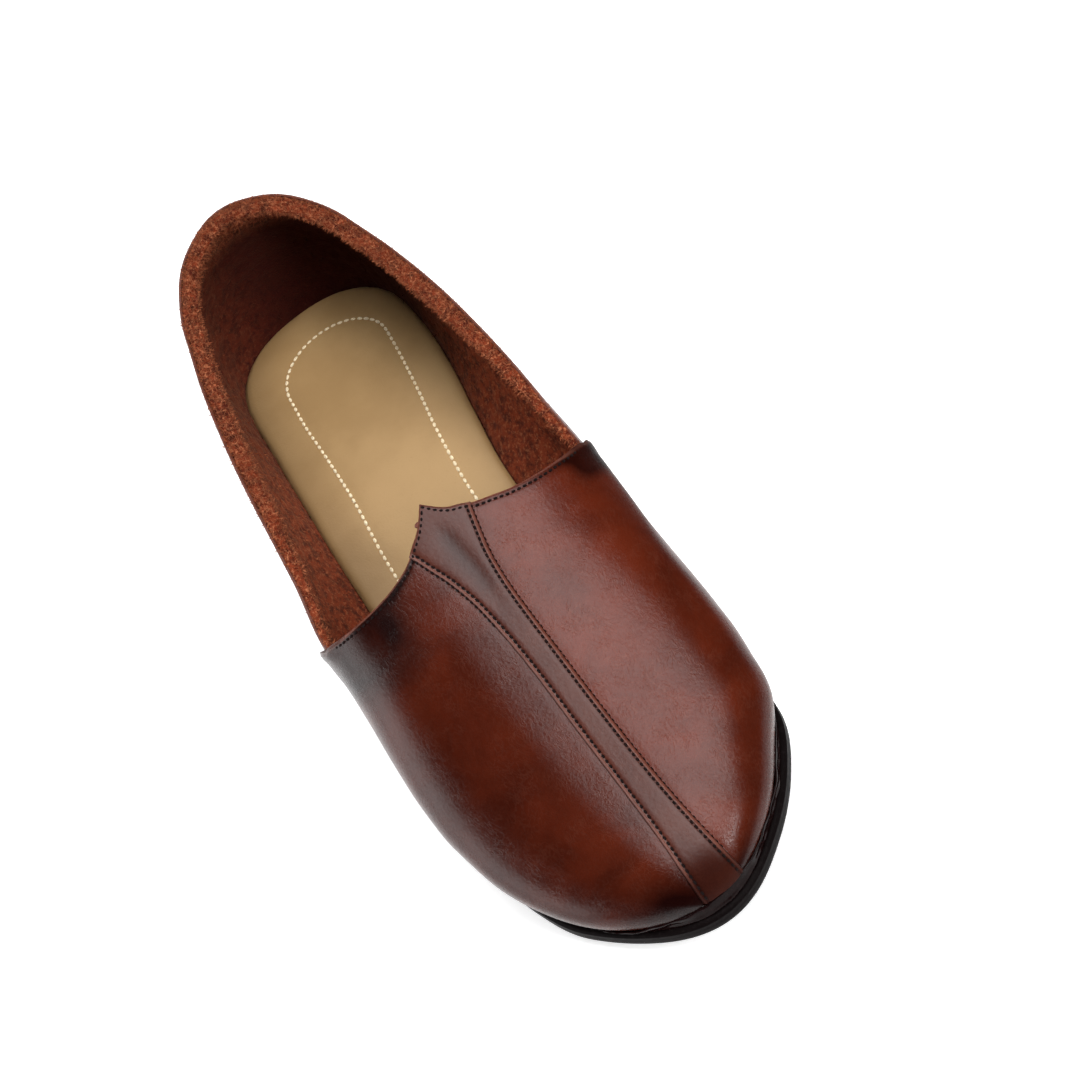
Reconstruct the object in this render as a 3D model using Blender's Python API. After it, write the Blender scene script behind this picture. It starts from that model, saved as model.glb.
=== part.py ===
"""A leather slip-on shoe for the right foot, in metres, standing on z = 0.

The toe points to -Y and the wearer's left, the inner side of the foot, is +X.
Every outline is a table of sections: "along" runs from 0 at the heel to 1 at the toe,
and the other columns are shares of the named size in the table's first comment.
"""

import math

import bmesh
import bpy
from mathutils import Vector

# Driving sizes of the last and the sole
LENGTH = 0.282
BALL_WIDTH = 0.0993
HEEL_HEIGHT = 0.012
SOLE_THICKNESS = 0.0060
TOE_SPRING = 0.0065
UPPER_WIDTH = 0.1036
CROWN_HEIGHT = 0.0590
GIRTH_RISE = 0.0200
RIM_WIDTH = 0.0980
RIM_HEIGHT = 0.0620

# Walls and strips
QUARTER_WALL = 0.0022
RIM_PADDING = 0.0038
PADDING_START_SHARE = 0.70
VAMP_WALL = 0.0022
VAMP_STEP = 0.0013
INSOLE_THICKNESS = 0.0030
STRIP_WIDTH = 0.0104
STRIP_THICKNESS = 0.0012
RAND_HEIGHT = 0.0038
EDGE_ROUND = 0.0008

# Margins between the outer edge of the sole and the upper's lower edge
HEEL_MARGIN = 0.0008
FORE_MARGIN = 0.0042
TOE_MARGIN = 0.0052
HEEL_SWELL = 0.0022
RIM_LEAN = 0.0004
CLEARANCE = 0.0003
TUCK = 0.0002
SOLE_TOP_INSET = 0.0016
RAND_INSET = 0.0018
RAND_LIP = 0.0005

# The upper swells past the back of the sole, so the middle of the shoe lies ahead of
# the middle of the sole
REAR = (LENGTH - max(0.0, HEEL_SWELL - HEEL_MARGIN)) / 2

# Places along the shoe, as shares of its length
HEEL_CAP_SHARE = 0.115
TOE_CAP_SHARE = 0.745
HEEL_BREAST_SHARE = 0.27
FLAT_START_SHARE = 0.58
NOSE_START_SHARE = 0.86
NOSE_END_SHARE = 0.9993
FLAT_END_SHARE = 0.70
QUARTER_END_SHARE = 0.575
SIDE_SEAM_SHARE = 0.455
THROAT_SHARE = 0.502
RAND_START_SHARE = 0.56
TIP_SHARE = 0.0001
SECTION_GAP_SHARE = 0.006

# Stretches over which one form of the wall or the margin turns into the next
MARGIN_TURN = (0.30, 0.55)
WALL_TURN = (0.25, 0.50)
RIM_JOIN = (0.42, 0.50)
TOE_LOW_SHARE = 0.25

# Powers of the rounded ends and sections: 2 is an ellipse, and more is squarer
HEEL_POWER = 2.4
GIRTH_POWER = 2.2
RIM_POWER = 2.0
SECTION_WIDTH_POWER = 2.2
HEEL_LEAN_POWER = 1.6
TOE_SPRING_POWER = 1.8
GIRTH_SHARE = 0.82
CORNER_SHARE = 0.66

# Sole outline. Columns: along, centre and half width as shares of BALL_WIDTH
SOLE = [
    (0.000, 0.032, 0.357),
    (0.100, 0.031, 0.357),
    (0.154, 0.030, 0.362),
    (0.225, 0.017, 0.360),
    (0.296, -0.002, 0.350),
    (0.367, -0.022, 0.347),
    (0.438, -0.030, 0.362),
    (0.509, -0.028, 0.400),
    (0.580, -0.018, 0.446),
    (0.651, -0.010, 0.483),
    (0.722, -0.002, 0.500),
    (0.793, 0.008, 0.498),
    (0.846, 0.018, 0.503),
    (0.900, 0.010, 0.492),
    (0.934, 0.010, 0.470),
    (0.970, 0.009, 0.435),
    (1.000, 0.012, 0.413),
]

# Widest line of the upper. Columns: along, centre and half width as shares of
# UPPER_WIDTH, height over the sole as a share of GIRTH_RISE
GIRTH = [
    (0.00, 0.033, 0.340, 1.05),
    (0.10, 0.034, 0.347, 1.05),
    (0.20, 0.035, 0.376, 1.20),
    (0.30, 0.035, 0.410, 1.35),
    (0.40, 0.029, 0.447, 1.40),
    (0.50, 0.009, 0.490, 1.15),
    (0.55, 0.009, 0.490, 1.00),
    (0.60, 0.004, 0.491, 0.92),
    (0.65, 0.001, 0.497, 0.86),
    (0.70, 0.000, 0.502, 0.80),
    (0.75, 0.002, 0.500, 0.74),
    (0.80, 0.007, 0.496, 0.68),
    (0.85, 0.012, 0.501, 0.60),
    (0.90, 0.000, 0.482, 0.50),
    (0.94, -0.003, 0.474, 0.42),
    (0.97, -0.004, 0.458, 0.35),
    (1.00, 0.004, 0.446, 0.30),
]

# Ridge of the upper. Columns: along, height over the sole as a share of CROWN_HEIGHT,
# offset of the ridge as a share of UPPER_WIDTH, power of the section's height
CROWN = [
    (0.40, 1.140, 0.020, 3.0),
    (0.45, 1.080, 0.014, 3.0),
    (0.50, 1.000, 0.008, 3.0),
    (0.55, 0.930, 0.010, 2.9),
    (0.60, 0.850, 0.015, 2.7),
    (0.65, 0.765, 0.018, 2.6),
    (0.70, 0.680, 0.020, 2.5),
    (0.75, 0.600, 0.021, 2.4),
    (0.80, 0.520, 0.022, 2.3),
    (0.85, 0.445, 0.023, 2.2),
    (0.90, 0.375, 0.024, 2.2),
    (0.95, 0.320, 0.025, 2.2),
    (1.00, 0.290, 0.026, 2.2),
]

# Top line of the quarter. Columns: along, centre and half width as shares of RIM_WIDTH,
# height over the sole as a share of RIM_HEIGHT, padding as a share of RIM_PADDING
RIM = [
    (0.000, 0.038, 0.224, 1.000, 1.00),
    (0.028, 0.038, 0.271, 0.985, 1.00),
    (0.072, 0.039, 0.297, 0.939, 1.00),
    (0.115, 0.040, 0.327, 0.898, 1.00),
    (0.180, 0.040, 0.378, 0.850, 0.98),
    (0.253, 0.040, 0.420, 0.794, 0.94),
    (0.325, 0.037, 0.450, 0.737, 0.84),
    (0.400, 0.031, 0.473, 0.688, 0.60),
    (0.450, 0.022, 0.485, 0.645, 0.38),
    (0.500, 0.014, 0.497, 0.592, 0.14),
    (0.540, 0.009, 0.500, 0.567, 0.02),
    (0.600, 0.005, 0.505, 0.540, 0.00),
]

# Throat edge. Columns: share of the half width out from the peak, distance forward of
# the peak as a share of LENGTH
THROAT_EDGE = [
    (0.000, 0.0000),
    (0.060, 0.0140),
    (0.125, 0.0235),
    (0.190, 0.0290),
    (0.250, 0.0345),
    (0.330, 0.0400),
    (0.500, 0.0450),
    (0.700, 0.0440),
    (0.880, 0.0360),
    (1.000, 0.0240),
]
THROAT_SKEW_SHARE = 0.006

# Centre strip. Columns: along, centre as a share of UPPER_WIDTH, width as a share of
# STRIP_WIDTH
STRIP = [
    (0.50, 0.006, 2.90),
    (0.53, 0.006, 2.45),
    (0.56, 0.009, 1.95),
    (0.59, 0.014, 1.48),
    (0.63, 0.021, 1.14),
    (0.70, 0.028, 0.98),
    (0.80, 0.030, 0.98),
    (0.88, 0.035, 1.02),
    (0.94, 0.041, 1.14),
    (1.00, 0.046, 1.40),
]
STRIP_FOOT = 0.0043

# Rand round the forefoot. Columns: along, height on the outer side and on the inner
# side as shares of RAND_HEIGHT
RAND = [
    (0.40, 0.20, 0.20),
    (0.60, 0.30, 0.32),
    (0.80, 0.42, 0.58),
    (0.90, 0.62, 0.96),
    (0.96, 0.90, 1.00),
    (1.00, 1.00, 1.00),
]

# Rows up the quarter's wall, and columns across the vamp: each corner of the throat
# and each widest line has a column of its own
WALL_ROWS = (0.0, 0.12, 0.25, 0.38, 0.52, 0.66, 0.80, 0.90, 0.965)
SIDE_COLUMNS = (1.0, 0.91, GIRTH_SHARE, 0.74, CORNER_SHARE)
TOP_COLUMNS = (0.59, 0.52, 0.45, 0.38, 0.31, 0.245, 0.185, 0.125, 0.07, 0.03)
STRIP_COLUMNS = (-1.0, -0.6, -0.25, 0.0, 0.25, 0.6, 1.0)

LATERAL = -1
MEDIAL = 1


def smooth(value, low, high):
    """0 below low, 1 above high, with a soft turn at both."""
    share = min(1.0, max(0.0, (value - low) / (high - low)))
    return share * share * (3 - 2 * share)


def read(table, column, along):
    """The column's value at this place, on a smooth curve through the rows."""
    rows = [(row[0], row[column]) for row in table]
    if along <= rows[0][0]:
        return rows[0][1]
    if along >= rows[-1][0]:
        return rows[-1][1]
    right = next(i for i, row in enumerate(rows) if row[0] > along)
    (x0, y0), (x1, y1) = rows[right - 1], rows[right]
    slope = (y1 - y0) / (x1 - x0)
    slopes = []
    for centre in (right - 1, right):
        if 0 < centre < len(rows) - 1:
            before, after = rows[centre - 1], rows[centre + 1]
            slopes.append((after[1] - before[1]) / (after[0] - before[0]))
        else:
            slopes.append(slope)
    width = x1 - x0
    t = (along - x0) / width
    start = (1 + 2 * t) * (1 - t) ** 2 * y0 + t * (1 - t) ** 2 * width * slopes[0]
    end = t * t * (3 - 2 * t) * y1 + t * t * (t - 1) * width * slopes[1]
    return start + end


def ends(along, power=HEEL_POWER):
    """How far the rounded heel and toe draw the outline in, from 1 to 0 at the tips."""
    if along < HEEL_CAP_SHARE:
        return (1 - (1 - along / HEEL_CAP_SHARE) ** power) ** (1 / power)
    if along > TOE_CAP_SHARE:
        return math.sqrt(max(0.0, 1 - ((along - TOE_CAP_SHARE) / (1 - TOE_CAP_SHARE)) ** 2))
    return 1.0


def stations(start, end, heel_steps, side_steps, toe_steps):
    """Places along the shoe, closer together where the ends turn."""
    side_span, toe_span = TOE_CAP_SHARE - HEEL_CAP_SHARE, 1 - TOE_CAP_SHARE
    heel_turns = [math.pi / 2 * i / heel_steps for i in range(heel_steps)]
    toe_turns = [math.pi / 2 * i / toe_steps for i in range(toe_steps + 1)]
    heel = [HEEL_CAP_SHARE * (1 - math.cos(turn)) for turn in heel_turns]
    side = [HEEL_CAP_SHARE + side_span * i / side_steps for i in range(side_steps)]
    toe = [TOE_CAP_SHARE + toe_span * math.sin(turn) for turn in toe_turns]
    gap = SECTION_GAP_SHARE if end < TOE_CAP_SHARE else TIP_SHARE
    inner = [s for s in heel + side + toe if start + SECTION_GAP_SHARE < s < end - gap]
    return [start] + inner + [end]


def sole_y(along):
    return REAR - LENGTH * along


def upper_y(along):
    return REAR - HEEL_MARGIN - (LENGTH - HEEL_MARGIN - TOE_MARGIN) * along


def underside(y):
    """Height of the outsole's lower face: raised on the heel, flat at the ball, sprung at the toe."""
    along = (REAR - y) / LENGTH
    heel = HEEL_HEIGHT * (1 - smooth(along, HEEL_BREAST_SHARE, FLAT_START_SHARE))
    toe = max(0.0, (along - FLAT_END_SHARE) / (1 - FLAT_END_SHARE))
    return heel + TOE_SPRING * toe**TOE_SPRING_POWER


def seat(y):
    """Height at which a piece rests on the outsole, just clear of it."""
    return underside(y) + SOLE_THICKNESS + CLEARANCE


def feather(along):
    """Height of the upper's lower edge."""
    return seat(upper_y(along))


def margin(along):
    return HEEL_MARGIN + (FORE_MARGIN - HEEL_MARGIN) * smooth(along, *MARGIN_TURN)


def sole_point(along, side):
    centre = BALL_WIDTH * read(SOLE, 1, along)
    half = BALL_WIDTH * read(SOLE, 2, along) * ends(along)
    return Vector((centre + side * half, sole_y(along), 0.0))


def feather_point(along, side):
    centre = BALL_WIDTH * read(SOLE, 1, along)
    half = (BALL_WIDTH * read(SOLE, 2, along) - margin(along)) * ends(along)
    return Vector((centre + side * half, upper_y(along), feather(along)))


def girth_point(along, side):
    centre = UPPER_WIDTH * read(GIRTH, 1, along)
    half = UPPER_WIDTH * read(GIRTH, 2, along) * ends(along, GIRTH_POWER)
    swell = HEEL_SWELL * (1 - smooth(along, 0.0, HEEL_CAP_SHARE))
    rise = GIRTH_RISE * read(GIRTH, 3, along) * (TOE_LOW_SHARE + (1 - TOE_LOW_SHARE) * nose(along))
    return Vector((centre + side * half, upper_y(along) + swell, feather(along) + rise))


def nose(along):
    """How far the toe's own rounding lowers the upper, from 1 to 0 at the tip."""
    if along < NOSE_START_SHARE:
        return 1.0
    return math.sqrt(max(0.0, 1 - ((along - NOSE_START_SHARE) / (1 - NOSE_START_SHARE)) ** 2))


def crown_height(along):
    girth = girth_point(along, LATERAL).z
    full = feather(along) + CROWN_HEIGHT * read(CROWN, 1, along)
    return girth + (full - girth) * nose(along)


def form(along, across):
    """The last's surface in front of the collar; across is -1 at the outer lower edge,
    0 on the ridge and 1 at the inner lower edge."""
    side = MEDIAL if across > 0 else LATERAL
    share = abs(across)
    foot = feather_point(along, side)
    girth = girth_point(along, side)
    if share > GIRTH_SHARE:
        turn = (1 - share) / (1 - GIRTH_SHARE)
        point = foot.lerp(girth, math.sin(math.pi / 2 * turn))
        point.z = foot.z + (girth.z - foot.z) * turn
        return point
    angle = (1 - share / GIRTH_SHARE) * math.pi / 2
    ridge = UPPER_WIDTH * read(CROWN, 2, along)
    out = math.cos(angle) ** (2 / SECTION_WIDTH_POWER)
    up = math.sin(angle) ** (2 / read(CROWN, 3, along))
    x = ridge + (girth.x - ridge) * out
    return Vector((x, girth.y, girth.z + (crown_height(along) - girth.z) * up))


def across_at(along, x):
    """The place across the section that lies over this x."""
    ridge = UPPER_WIDTH * read(CROWN, 2, along)
    side = MEDIAL if x > ridge else LATERAL
    reach = girth_point(along, side).x - ridge
    share = min(0.999, abs((x - ridge) / reach))
    angle = math.acos(share ** (SECTION_WIDTH_POWER / 2))
    return side * (1 - angle / (math.pi / 2)) * GIRTH_SHARE


def form_normal(along, across):
    """Outward direction of the surface, level at the lower edge."""
    step = 0.002
    low, high = max(0.30, along - step), min(0.9995, along + step)
    left, right = max(-1.0, across - 0.01), min(1.0, across + 0.01)
    down = form(high, across) - form(low, across)
    over = form(along, right) - form(along, left)
    normal = down.cross(over).normalized()
    level = smooth(abs(across), GIRTH_SHARE, 1.0)
    normal.z *= 1 - level
    return normal.normalized()


def offset_form(along, across, distance):
    return form(along, across) + form_normal(along, across) * distance


def rim_point(along, side):
    """The top line of the quarter; near the vamp it lies on the same surface."""
    half = read(RIM, 2, along) * ends(along, RIM_POWER)
    table_x = RIM_WIDTH * (read(RIM, 1, along) + side * half)
    z = feather(along) + RIM_HEIGHT * read(RIM, 3, along)
    blend = smooth(along, *RIM_JOIN)
    x = table_x
    if blend > 0:
        girth = girth_point(along, side)
        ridge = UPPER_WIDTH * read(CROWN, 2, along)
        rise = min(0.98, (z - girth.z) / (crown_height(along) - girth.z))
        out = (1 - rise ** read(CROWN, 3, along)) ** (1 / SECTION_WIDTH_POWER)
        x = table_x + (ridge + (girth.x - ridge) * out - table_x) * blend
    lean = RIM_LEAN * (1 - smooth(along, 0.0, HEEL_CAP_SHARE))
    return Vector((x, upper_y(along) - lean, z))


def quarter_point(along, side, up):
    """The quarter's outer face; up runs from 0 at the lower edge to 1 at the top line."""
    foot = feather_point(along, side)
    girth = girth_point(along, side)
    rim = rim_point(along, side)
    z = foot.z + (rim.z - foot.z) * up
    if z < girth.z:
        turn = (z - foot.z) / (girth.z - foot.z)
        point = foot.lerp(girth, math.sin(math.pi / 2 * turn))
    else:
        turn = (z - girth.z) / (rim.z - girth.z)
        power = HEEL_LEAN_POWER + (read(CROWN, 3, along) - HEEL_LEAN_POWER) * smooth(along, *WALL_TURN)
        point = girth.lerp(rim, turn**power)
    point.z = z
    return point


def outward(point_at, along, side):
    """Level direction away from the shoe's middle on an outline."""
    if along < TIP_SHARE:
        return Vector((0.0, 1.0, 0.0))
    if along > 1 - TIP_SHARE:
        return Vector((0.0, -1.0, 0.0))
    step = min(0.0015, along / 2, (1 - along) / 2)
    tangent = point_at(along + step, side) - point_at(along - step, side)
    return Vector((-tangent.y, tangent.x, 0.0)).normalized() * side


def finish(name, mesh_data, colour, roughness):
    """Turns the bmesh into a named object with its own material, shaded smooth."""
    bmesh.ops.recalc_face_normals(mesh_data, faces=mesh_data.faces)
    if mesh_data.calc_volume(signed=True) < 0:
        bmesh.ops.reverse_faces(mesh_data, faces=mesh_data.faces)
    mesh = bpy.data.meshes.new(name)
    mesh_data.to_mesh(mesh)
    mesh_data.free()
    mesh.shade_smooth()
    mesh.set_sharp_from_angle(angle=math.radians(35))
    material = bpy.data.materials.new(name)
    material.use_nodes = True
    shader = material.node_tree.nodes["Principled BSDF"]
    shader.inputs["Base Color"].default_value = (*colour, 1.0)
    shader.inputs["Roughness"].default_value = roughness
    shader.inputs["Metallic"].default_value = 0.0
    mesh.materials.append(material)
    piece = bpy.data.objects.new(name, mesh)
    bpy.context.scene.collection.objects.link(piece)
    return piece


def bridge(data, rings):
    """Faces between each closed ring and the next."""
    count = len(rings[0])
    for first, second in zip(rings, rings[1:]):
        for i in range(count):
            j = (i + 1) % count
            data.faces.new((first[i], first[j], second[j], second[i]))


def sweep(sections):
    """A bmesh that joins closed sections one after another, with a face on each end."""
    data = bmesh.new()
    rings = [[data.verts.new(point) for point in section] for section in sections]
    bridge(data, rings)
    data.faces.new(rings[0])
    data.faces.new(rings[-1])
    return data


def stack(outlines):
    """A bmesh of outlines laid one over another; each end is closed straight across."""
    data = bmesh.new()
    rings = [[data.verts.new(point) for point in ring] for ring in outlines]
    bridge(data, rings)
    for ring in (rings[0], rings[-1]):
        for i in range(len(ring) // 2):
            corners = (ring[i], ring[i + 1], ring[-i - 1], ring[-i])
            data.faces.new(list(dict.fromkeys(corners)))
    return data


def shell(outer, inner, domed):
    """A closed bmesh between an outer and an inner grid of points. The last row of a
    domed one is the rim of its cap, and of any other its cut end."""
    data = bmesh.new()
    front = [[data.verts.new(point) for point in row] for row in outer]
    back = [[data.verts.new(point) for point in row] for row in inner]
    last = len(front[0]) - 1
    for near, far in zip(range(len(front)), range(1, len(front))):
        for grid in (front, back):
            for j in range(last):
                data.faces.new((grid[near][j], grid[near][j + 1], grid[far][j + 1], grid[far][j]))
        for j in (0, last):
            data.faces.new((front[near][j], front[far][j], back[far][j], back[near][j]))
    cut_rows = [0] if domed else [0, -1]
    for i in cut_rows:
        for j in range(last):
            data.faces.new((front[i][j], front[i][j + 1], back[i][j + 1], back[i][j]))
    if domed:
        data.faces.new(front[-1])
        data.faces.new(back[-1])
        data.faces.new((front[-1][0], front[-1][last], back[-1][last], back[-1][0]))
    return data


def corner_reach():
    """How far out from the ridge the throat's corner lies, as a share of the widest line."""
    angle = (1 - CORNER_SHARE / GIRTH_SHARE) * math.pi / 2
    return math.cos(angle) ** (2 / SECTION_WIDTH_POWER)


def throat_at(out, side):
    """The throat edge at a share of the way out from the peak to the corner."""
    return THROAT_SHARE + read(THROAT_EDGE, 1, out) - THROAT_SKEW_SHARE * side * smooth(out, 0.0, 0.4)


def vamp_start(across):
    """Where the vamp begins: its side seam below the corner, the throat edge above it."""
    side = MEDIAL if across > 0 else LATERAL
    share = abs(across)
    if share > CORNER_SHARE:
        corner = throat_at(1.0, side)
        down = (share - CORNER_SHARE) / (1 - CORNER_SHARE)
        return corner + (SIDE_SEAM_SHARE - corner) * down
    angle = (1 - share / GIRTH_SHARE) * math.pi / 2
    out = math.cos(angle) ** (2 / SECTION_WIDTH_POWER) / corner_reach()
    return throat_at(min(1.0, out), side)


def build_vamp(steps=26, crowding=1.15):
    half = SIDE_COLUMNS + TOP_COLUMNS
    columns = [-share for share in half] + [0.0] + list(half[::-1])
    outer, inner = [], []
    for i in range(steps + 1):
        share = math.sin(math.pi / 2 * i / steps) ** crowding
        outer_row, inner_row = [], []
        for across in columns:
            start = vamp_start(across)
            along = start + (NOSE_END_SHARE - start) * share
            outer_row.append(offset_form(along, across, VAMP_STEP))
            inner_row.append(offset_form(along, across, VAMP_STEP - VAMP_WALL))
        for row in (outer_row, inner_row):
            for point in (row[0], row[-1]):
                point.z = seat(point.y)
        outer.append(outer_row)
        inner.append(inner_row)
    return shell(outer, inner, domed=True)


def build_quarter():
    places = stations(0.0, QUARTER_END_SHARE, 8, 26, 8)
    path = [(along, LATERAL) for along in places[::-1]] + [(along, MEDIAL) for along in places[1:]]
    sections = []
    for along, side in path:
        direction = outward(girth_point, along, side)
        section = [quarter_point(along, side, up) for up in WALL_ROWS]
        padding = RIM_PADDING * read(RIM, 4, along)
        top = quarter_point(along, side, 1.0)
        for turn in (0.2, 0.5, 0.8):
            point = top - direction * (QUARTER_WALL + padding) * turn
            point.z -= EDGE_ROUND * (1 - math.sin(math.pi * turn))
            section.append(point)
        for up in WALL_ROWS[::-1]:
            depth = QUARTER_WALL + padding * smooth(up, PADDING_START_SHARE, 1.0)
            section.append(quarter_point(along, side, up) - direction * depth)
        for point in (section[0], section[-1]):
            point.z = seat(point.y) + TUCK
        sections.append(section)
    return sweep(sections)


def build_upper():
    """One hollow solid: the vamp laid over the front ends of the quarter."""
    quarter = finish("upper", build_quarter(), (0.19, 0.055, 0.030), 0.45)
    vamp = finish("vamp_form", build_vamp(), (0.19, 0.055, 0.030), 0.45)
    join = quarter.modifiers.new("join_vamp", "BOOLEAN")
    join.operation = "UNION"
    join.solver = "EXACT"
    join.object = vamp
    vamp.hide_render = True
    vamp.display_type = "WIRE"
    return quarter


def outline(point_at, inset, height, places):
    """A closed outline from the heel along the outer side to the toe and back inside."""
    path = [(along, LATERAL) for along in places] + [(along, MEDIAL) for along in places[-2:0:-1]]
    ring = []
    for along, side in path:
        point = point_at(along, side) - outward(point_at, along, side) * inset
        point.z = height(point.y)
        ring.append(point)
    return ring


def over(surface, rise):
    """A height that keeps this far over a surface."""
    return lambda y: surface(y) + rise


def build_outsole():
    places = stations(0.0, 1.0, 8, 18, 14)
    levels = [
        (EDGE_ROUND * 1.5, 0.0),
        (EDGE_ROUND * 0.5, EDGE_ROUND * 0.75),
        (0.0, SOLE_THICKNESS * 0.30),
        (0.0, SOLE_THICKNESS * 0.52),
        (EDGE_ROUND, SOLE_THICKNESS * 0.60),
        (EDGE_ROUND, SOLE_THICKNESS * 0.85),
        (SOLE_TOP_INSET, SOLE_THICKNESS),
    ]
    rings = [outline(sole_point, inset, over(underside, rise), places) for inset, rise in levels]
    return finish("outsole", stack(rings), (0.012, 0.009, 0.009), 0.22)


def build_heel():
    """The heel block, with a groove over its lift; its front face is cut straight across."""
    places = stations(0.0, HEEL_BREAST_SHARE, 8, 24, 8)
    path = [(along, LATERAL) for along in places[::-1]] + [(along, MEDIAL) for along in places[1:]]
    levels = [
        (EDGE_ROUND * 2.5, 0.0),
        (EDGE_ROUND * 1.5, EDGE_ROUND),
        (EDGE_ROUND, HEEL_HEIGHT * 0.45),
        (EDGE_ROUND * 1.75, HEEL_HEIGHT * 0.50),
        (EDGE_ROUND * 1.75, HEEL_HEIGHT * 0.56),
        (EDGE_ROUND, HEEL_HEIGHT * 0.61),
        (EDGE_ROUND, HEEL_HEIGHT - CLEARANCE),
    ]
    rings = []
    for inset, height in levels:
        ring = []
        for along, side in path:
            point = sole_point(along, side) - outward(sole_point, along, side) * inset
            point.z = height
            ring.append(point)
        rings.append(ring)
    return finish("heel", sweep(rings), (0.010, 0.008, 0.008), 0.35)


def build_insole():
    places = stations(0.0, 1.0, 7, 18, 10)
    inset = QUARTER_WALL + CLEARANCE
    levels = [
        (inset, 0.0),
        (inset, INSOLE_THICKNESS - EDGE_ROUND),
        (inset + EDGE_ROUND, INSOLE_THICKNESS),
    ]
    rings = [outline(feather_point, edge, over(seat, rise), places) for edge, rise in levels]
    return finish("insole", stack(rings), (0.52, 0.36, 0.20), 0.75)


def strip_x(along, share):
    half = STRIP_WIDTH / 2 * read(STRIP, 2, along)
    return UPPER_WIDTH * read(STRIP, 1, along) + share * half


def strip_start(share):
    """The strip's own rear edge lies over the throat edge."""
    along = THROAT_SHARE
    for _ in range(4):
        x = strip_x(along, share)
        ridge = UPPER_WIDTH * read(CROWN, 2, along)
        side = MEDIAL if x > ridge else LATERAL
        reach = abs(girth_point(along, side).x - ridge) * corner_reach()
        along = throat_at(abs(x - ridge) / reach, side)
    return along


def strip_end(share):
    """Where the strip has come down to its foot, just over the rand."""
    near, far = NOSE_START_SHARE, NOSE_END_SHARE
    for _ in range(16):
        along = (near + far) / 2
        x = strip_x(along, share)
        ridge = UPPER_WIDTH * read(CROWN, 2, along)
        side = MEDIAL if x > ridge else LATERAL
        inside = abs(x - ridge) < 0.97 * abs(girth_point(along, side).x - ridge)
        if inside and form(along, across_at(along, x)).z > feather(along) + STRIP_FOOT:
            near = along
        else:
            far = along
    return near


def build_strip(steps=26, crowding=1.1):
    """The strip over the vamp's ridge, from the throat's peak to the toe."""
    gap = VAMP_STEP + CLEARANCE
    outer, inner = [], []
    for i in range(steps + 1):
        outer_row, inner_row = [], []
        for share in STRIP_COLUMNS:
            start, end = strip_start(share), strip_end(share)
            along = start + (end - start) * math.sin(math.pi / 2 * i / steps) ** crowding
            across = across_at(along, strip_x(along, share))
            round_off = EDGE_ROUND / 2 * smooth(abs(share), 0.6, 1.0)
            outer_row.append(offset_form(along, across, gap + STRIP_THICKNESS - round_off))
            inner_row.append(offset_form(along, across, gap))
        outer.append(outer_row)
        inner.append(inner_row)
    return finish("center_strip", shell(outer, inner, domed=False), (0.10, 0.030, 0.022), 0.32)


def vamp_face(along, side, z):
    """The point just clear of the vamp's outer face at this height."""
    low, high = 1.0, 0.3
    for _ in range(20):
        share = (low + high) / 2
        point = offset_form(along, side * share, VAMP_STEP + CLEARANCE)
        if point.z < z:
            low = share
        else:
            high = share
    point.z = z
    return point


def build_rand(toe_steps=15):
    """The glossy band that closes the joint between the vamp and the sole."""
    places = stations(RAND_START_SHARE, NOSE_END_SHARE, 7, 20, toe_steps)
    path = [(along, LATERAL) for along in places] + [(along, MEDIAL) for along in places[::-1]]
    sections = []
    for along, side in path:
        height = RAND_HEIGHT * read(RAND, 1 if side == LATERAL else 2, along)
        direction = outward(feather_point, along, side)
        edge = sole_point(along, side) - outward(sole_point, along, side) * RAND_INSET
        edge.z = base = feather(along)
        foot, middle, top = (vamp_face(along, side, base + height * rise) for rise in (0.0, 0.5, 1.0))
        outer = []
        for inner, rise, share in ((foot, 0.0, 0.0), (middle, 0.5, 0.35), (top, 0.94, 0.75)):
            point = edge.lerp(top, share)
            lip = inner + direction * RAND_LIP
            if (lip - point).dot(direction) > 0:
                point = lip
            point.z = base + height * rise
            outer.append(point)
        for point in (outer[0], foot):
            point.z = seat(point.y)
        sections.append([*outer, top, middle, foot])
    return finish("rand", sweep(sections), (0.012, 0.008, 0.008), 0.16)


def main():
    for leftover in list(bpy.data.objects):
        bpy.data.objects.remove(leftover, do_unlink=True)
    build_outsole()
    build_heel()
    build_insole()
    build_upper()
    build_strip()
    build_rand()


main()
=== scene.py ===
# %% [markdown]
# # A leather slip-on, dressed piece by piece
#
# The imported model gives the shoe's true size and place. This lesson lays smooth, detailed
# pieces over it: polished leather, napped suede, thread, a tan sock and a moulded sole.
# Lengths are in metres, the toe points to -Y, and +X is the inner side of the foot.

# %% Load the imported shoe
import math
import random
from bisect import bisect_right

import bmesh
import bpy
from mathutils import Matrix, Vector, noise


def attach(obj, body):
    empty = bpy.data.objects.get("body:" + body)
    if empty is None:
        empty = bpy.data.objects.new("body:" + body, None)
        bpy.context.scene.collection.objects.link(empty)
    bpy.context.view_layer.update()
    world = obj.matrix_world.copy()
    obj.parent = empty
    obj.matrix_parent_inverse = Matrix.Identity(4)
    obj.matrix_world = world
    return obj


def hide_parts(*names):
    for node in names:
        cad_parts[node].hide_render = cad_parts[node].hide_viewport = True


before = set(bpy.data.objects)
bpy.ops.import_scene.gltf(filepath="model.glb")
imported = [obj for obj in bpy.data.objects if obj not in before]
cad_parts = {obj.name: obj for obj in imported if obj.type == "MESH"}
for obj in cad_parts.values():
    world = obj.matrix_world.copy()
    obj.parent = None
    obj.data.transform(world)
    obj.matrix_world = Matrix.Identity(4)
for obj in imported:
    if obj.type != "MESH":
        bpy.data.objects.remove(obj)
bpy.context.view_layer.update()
print("CAD nodes:", sorted(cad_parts))

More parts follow.
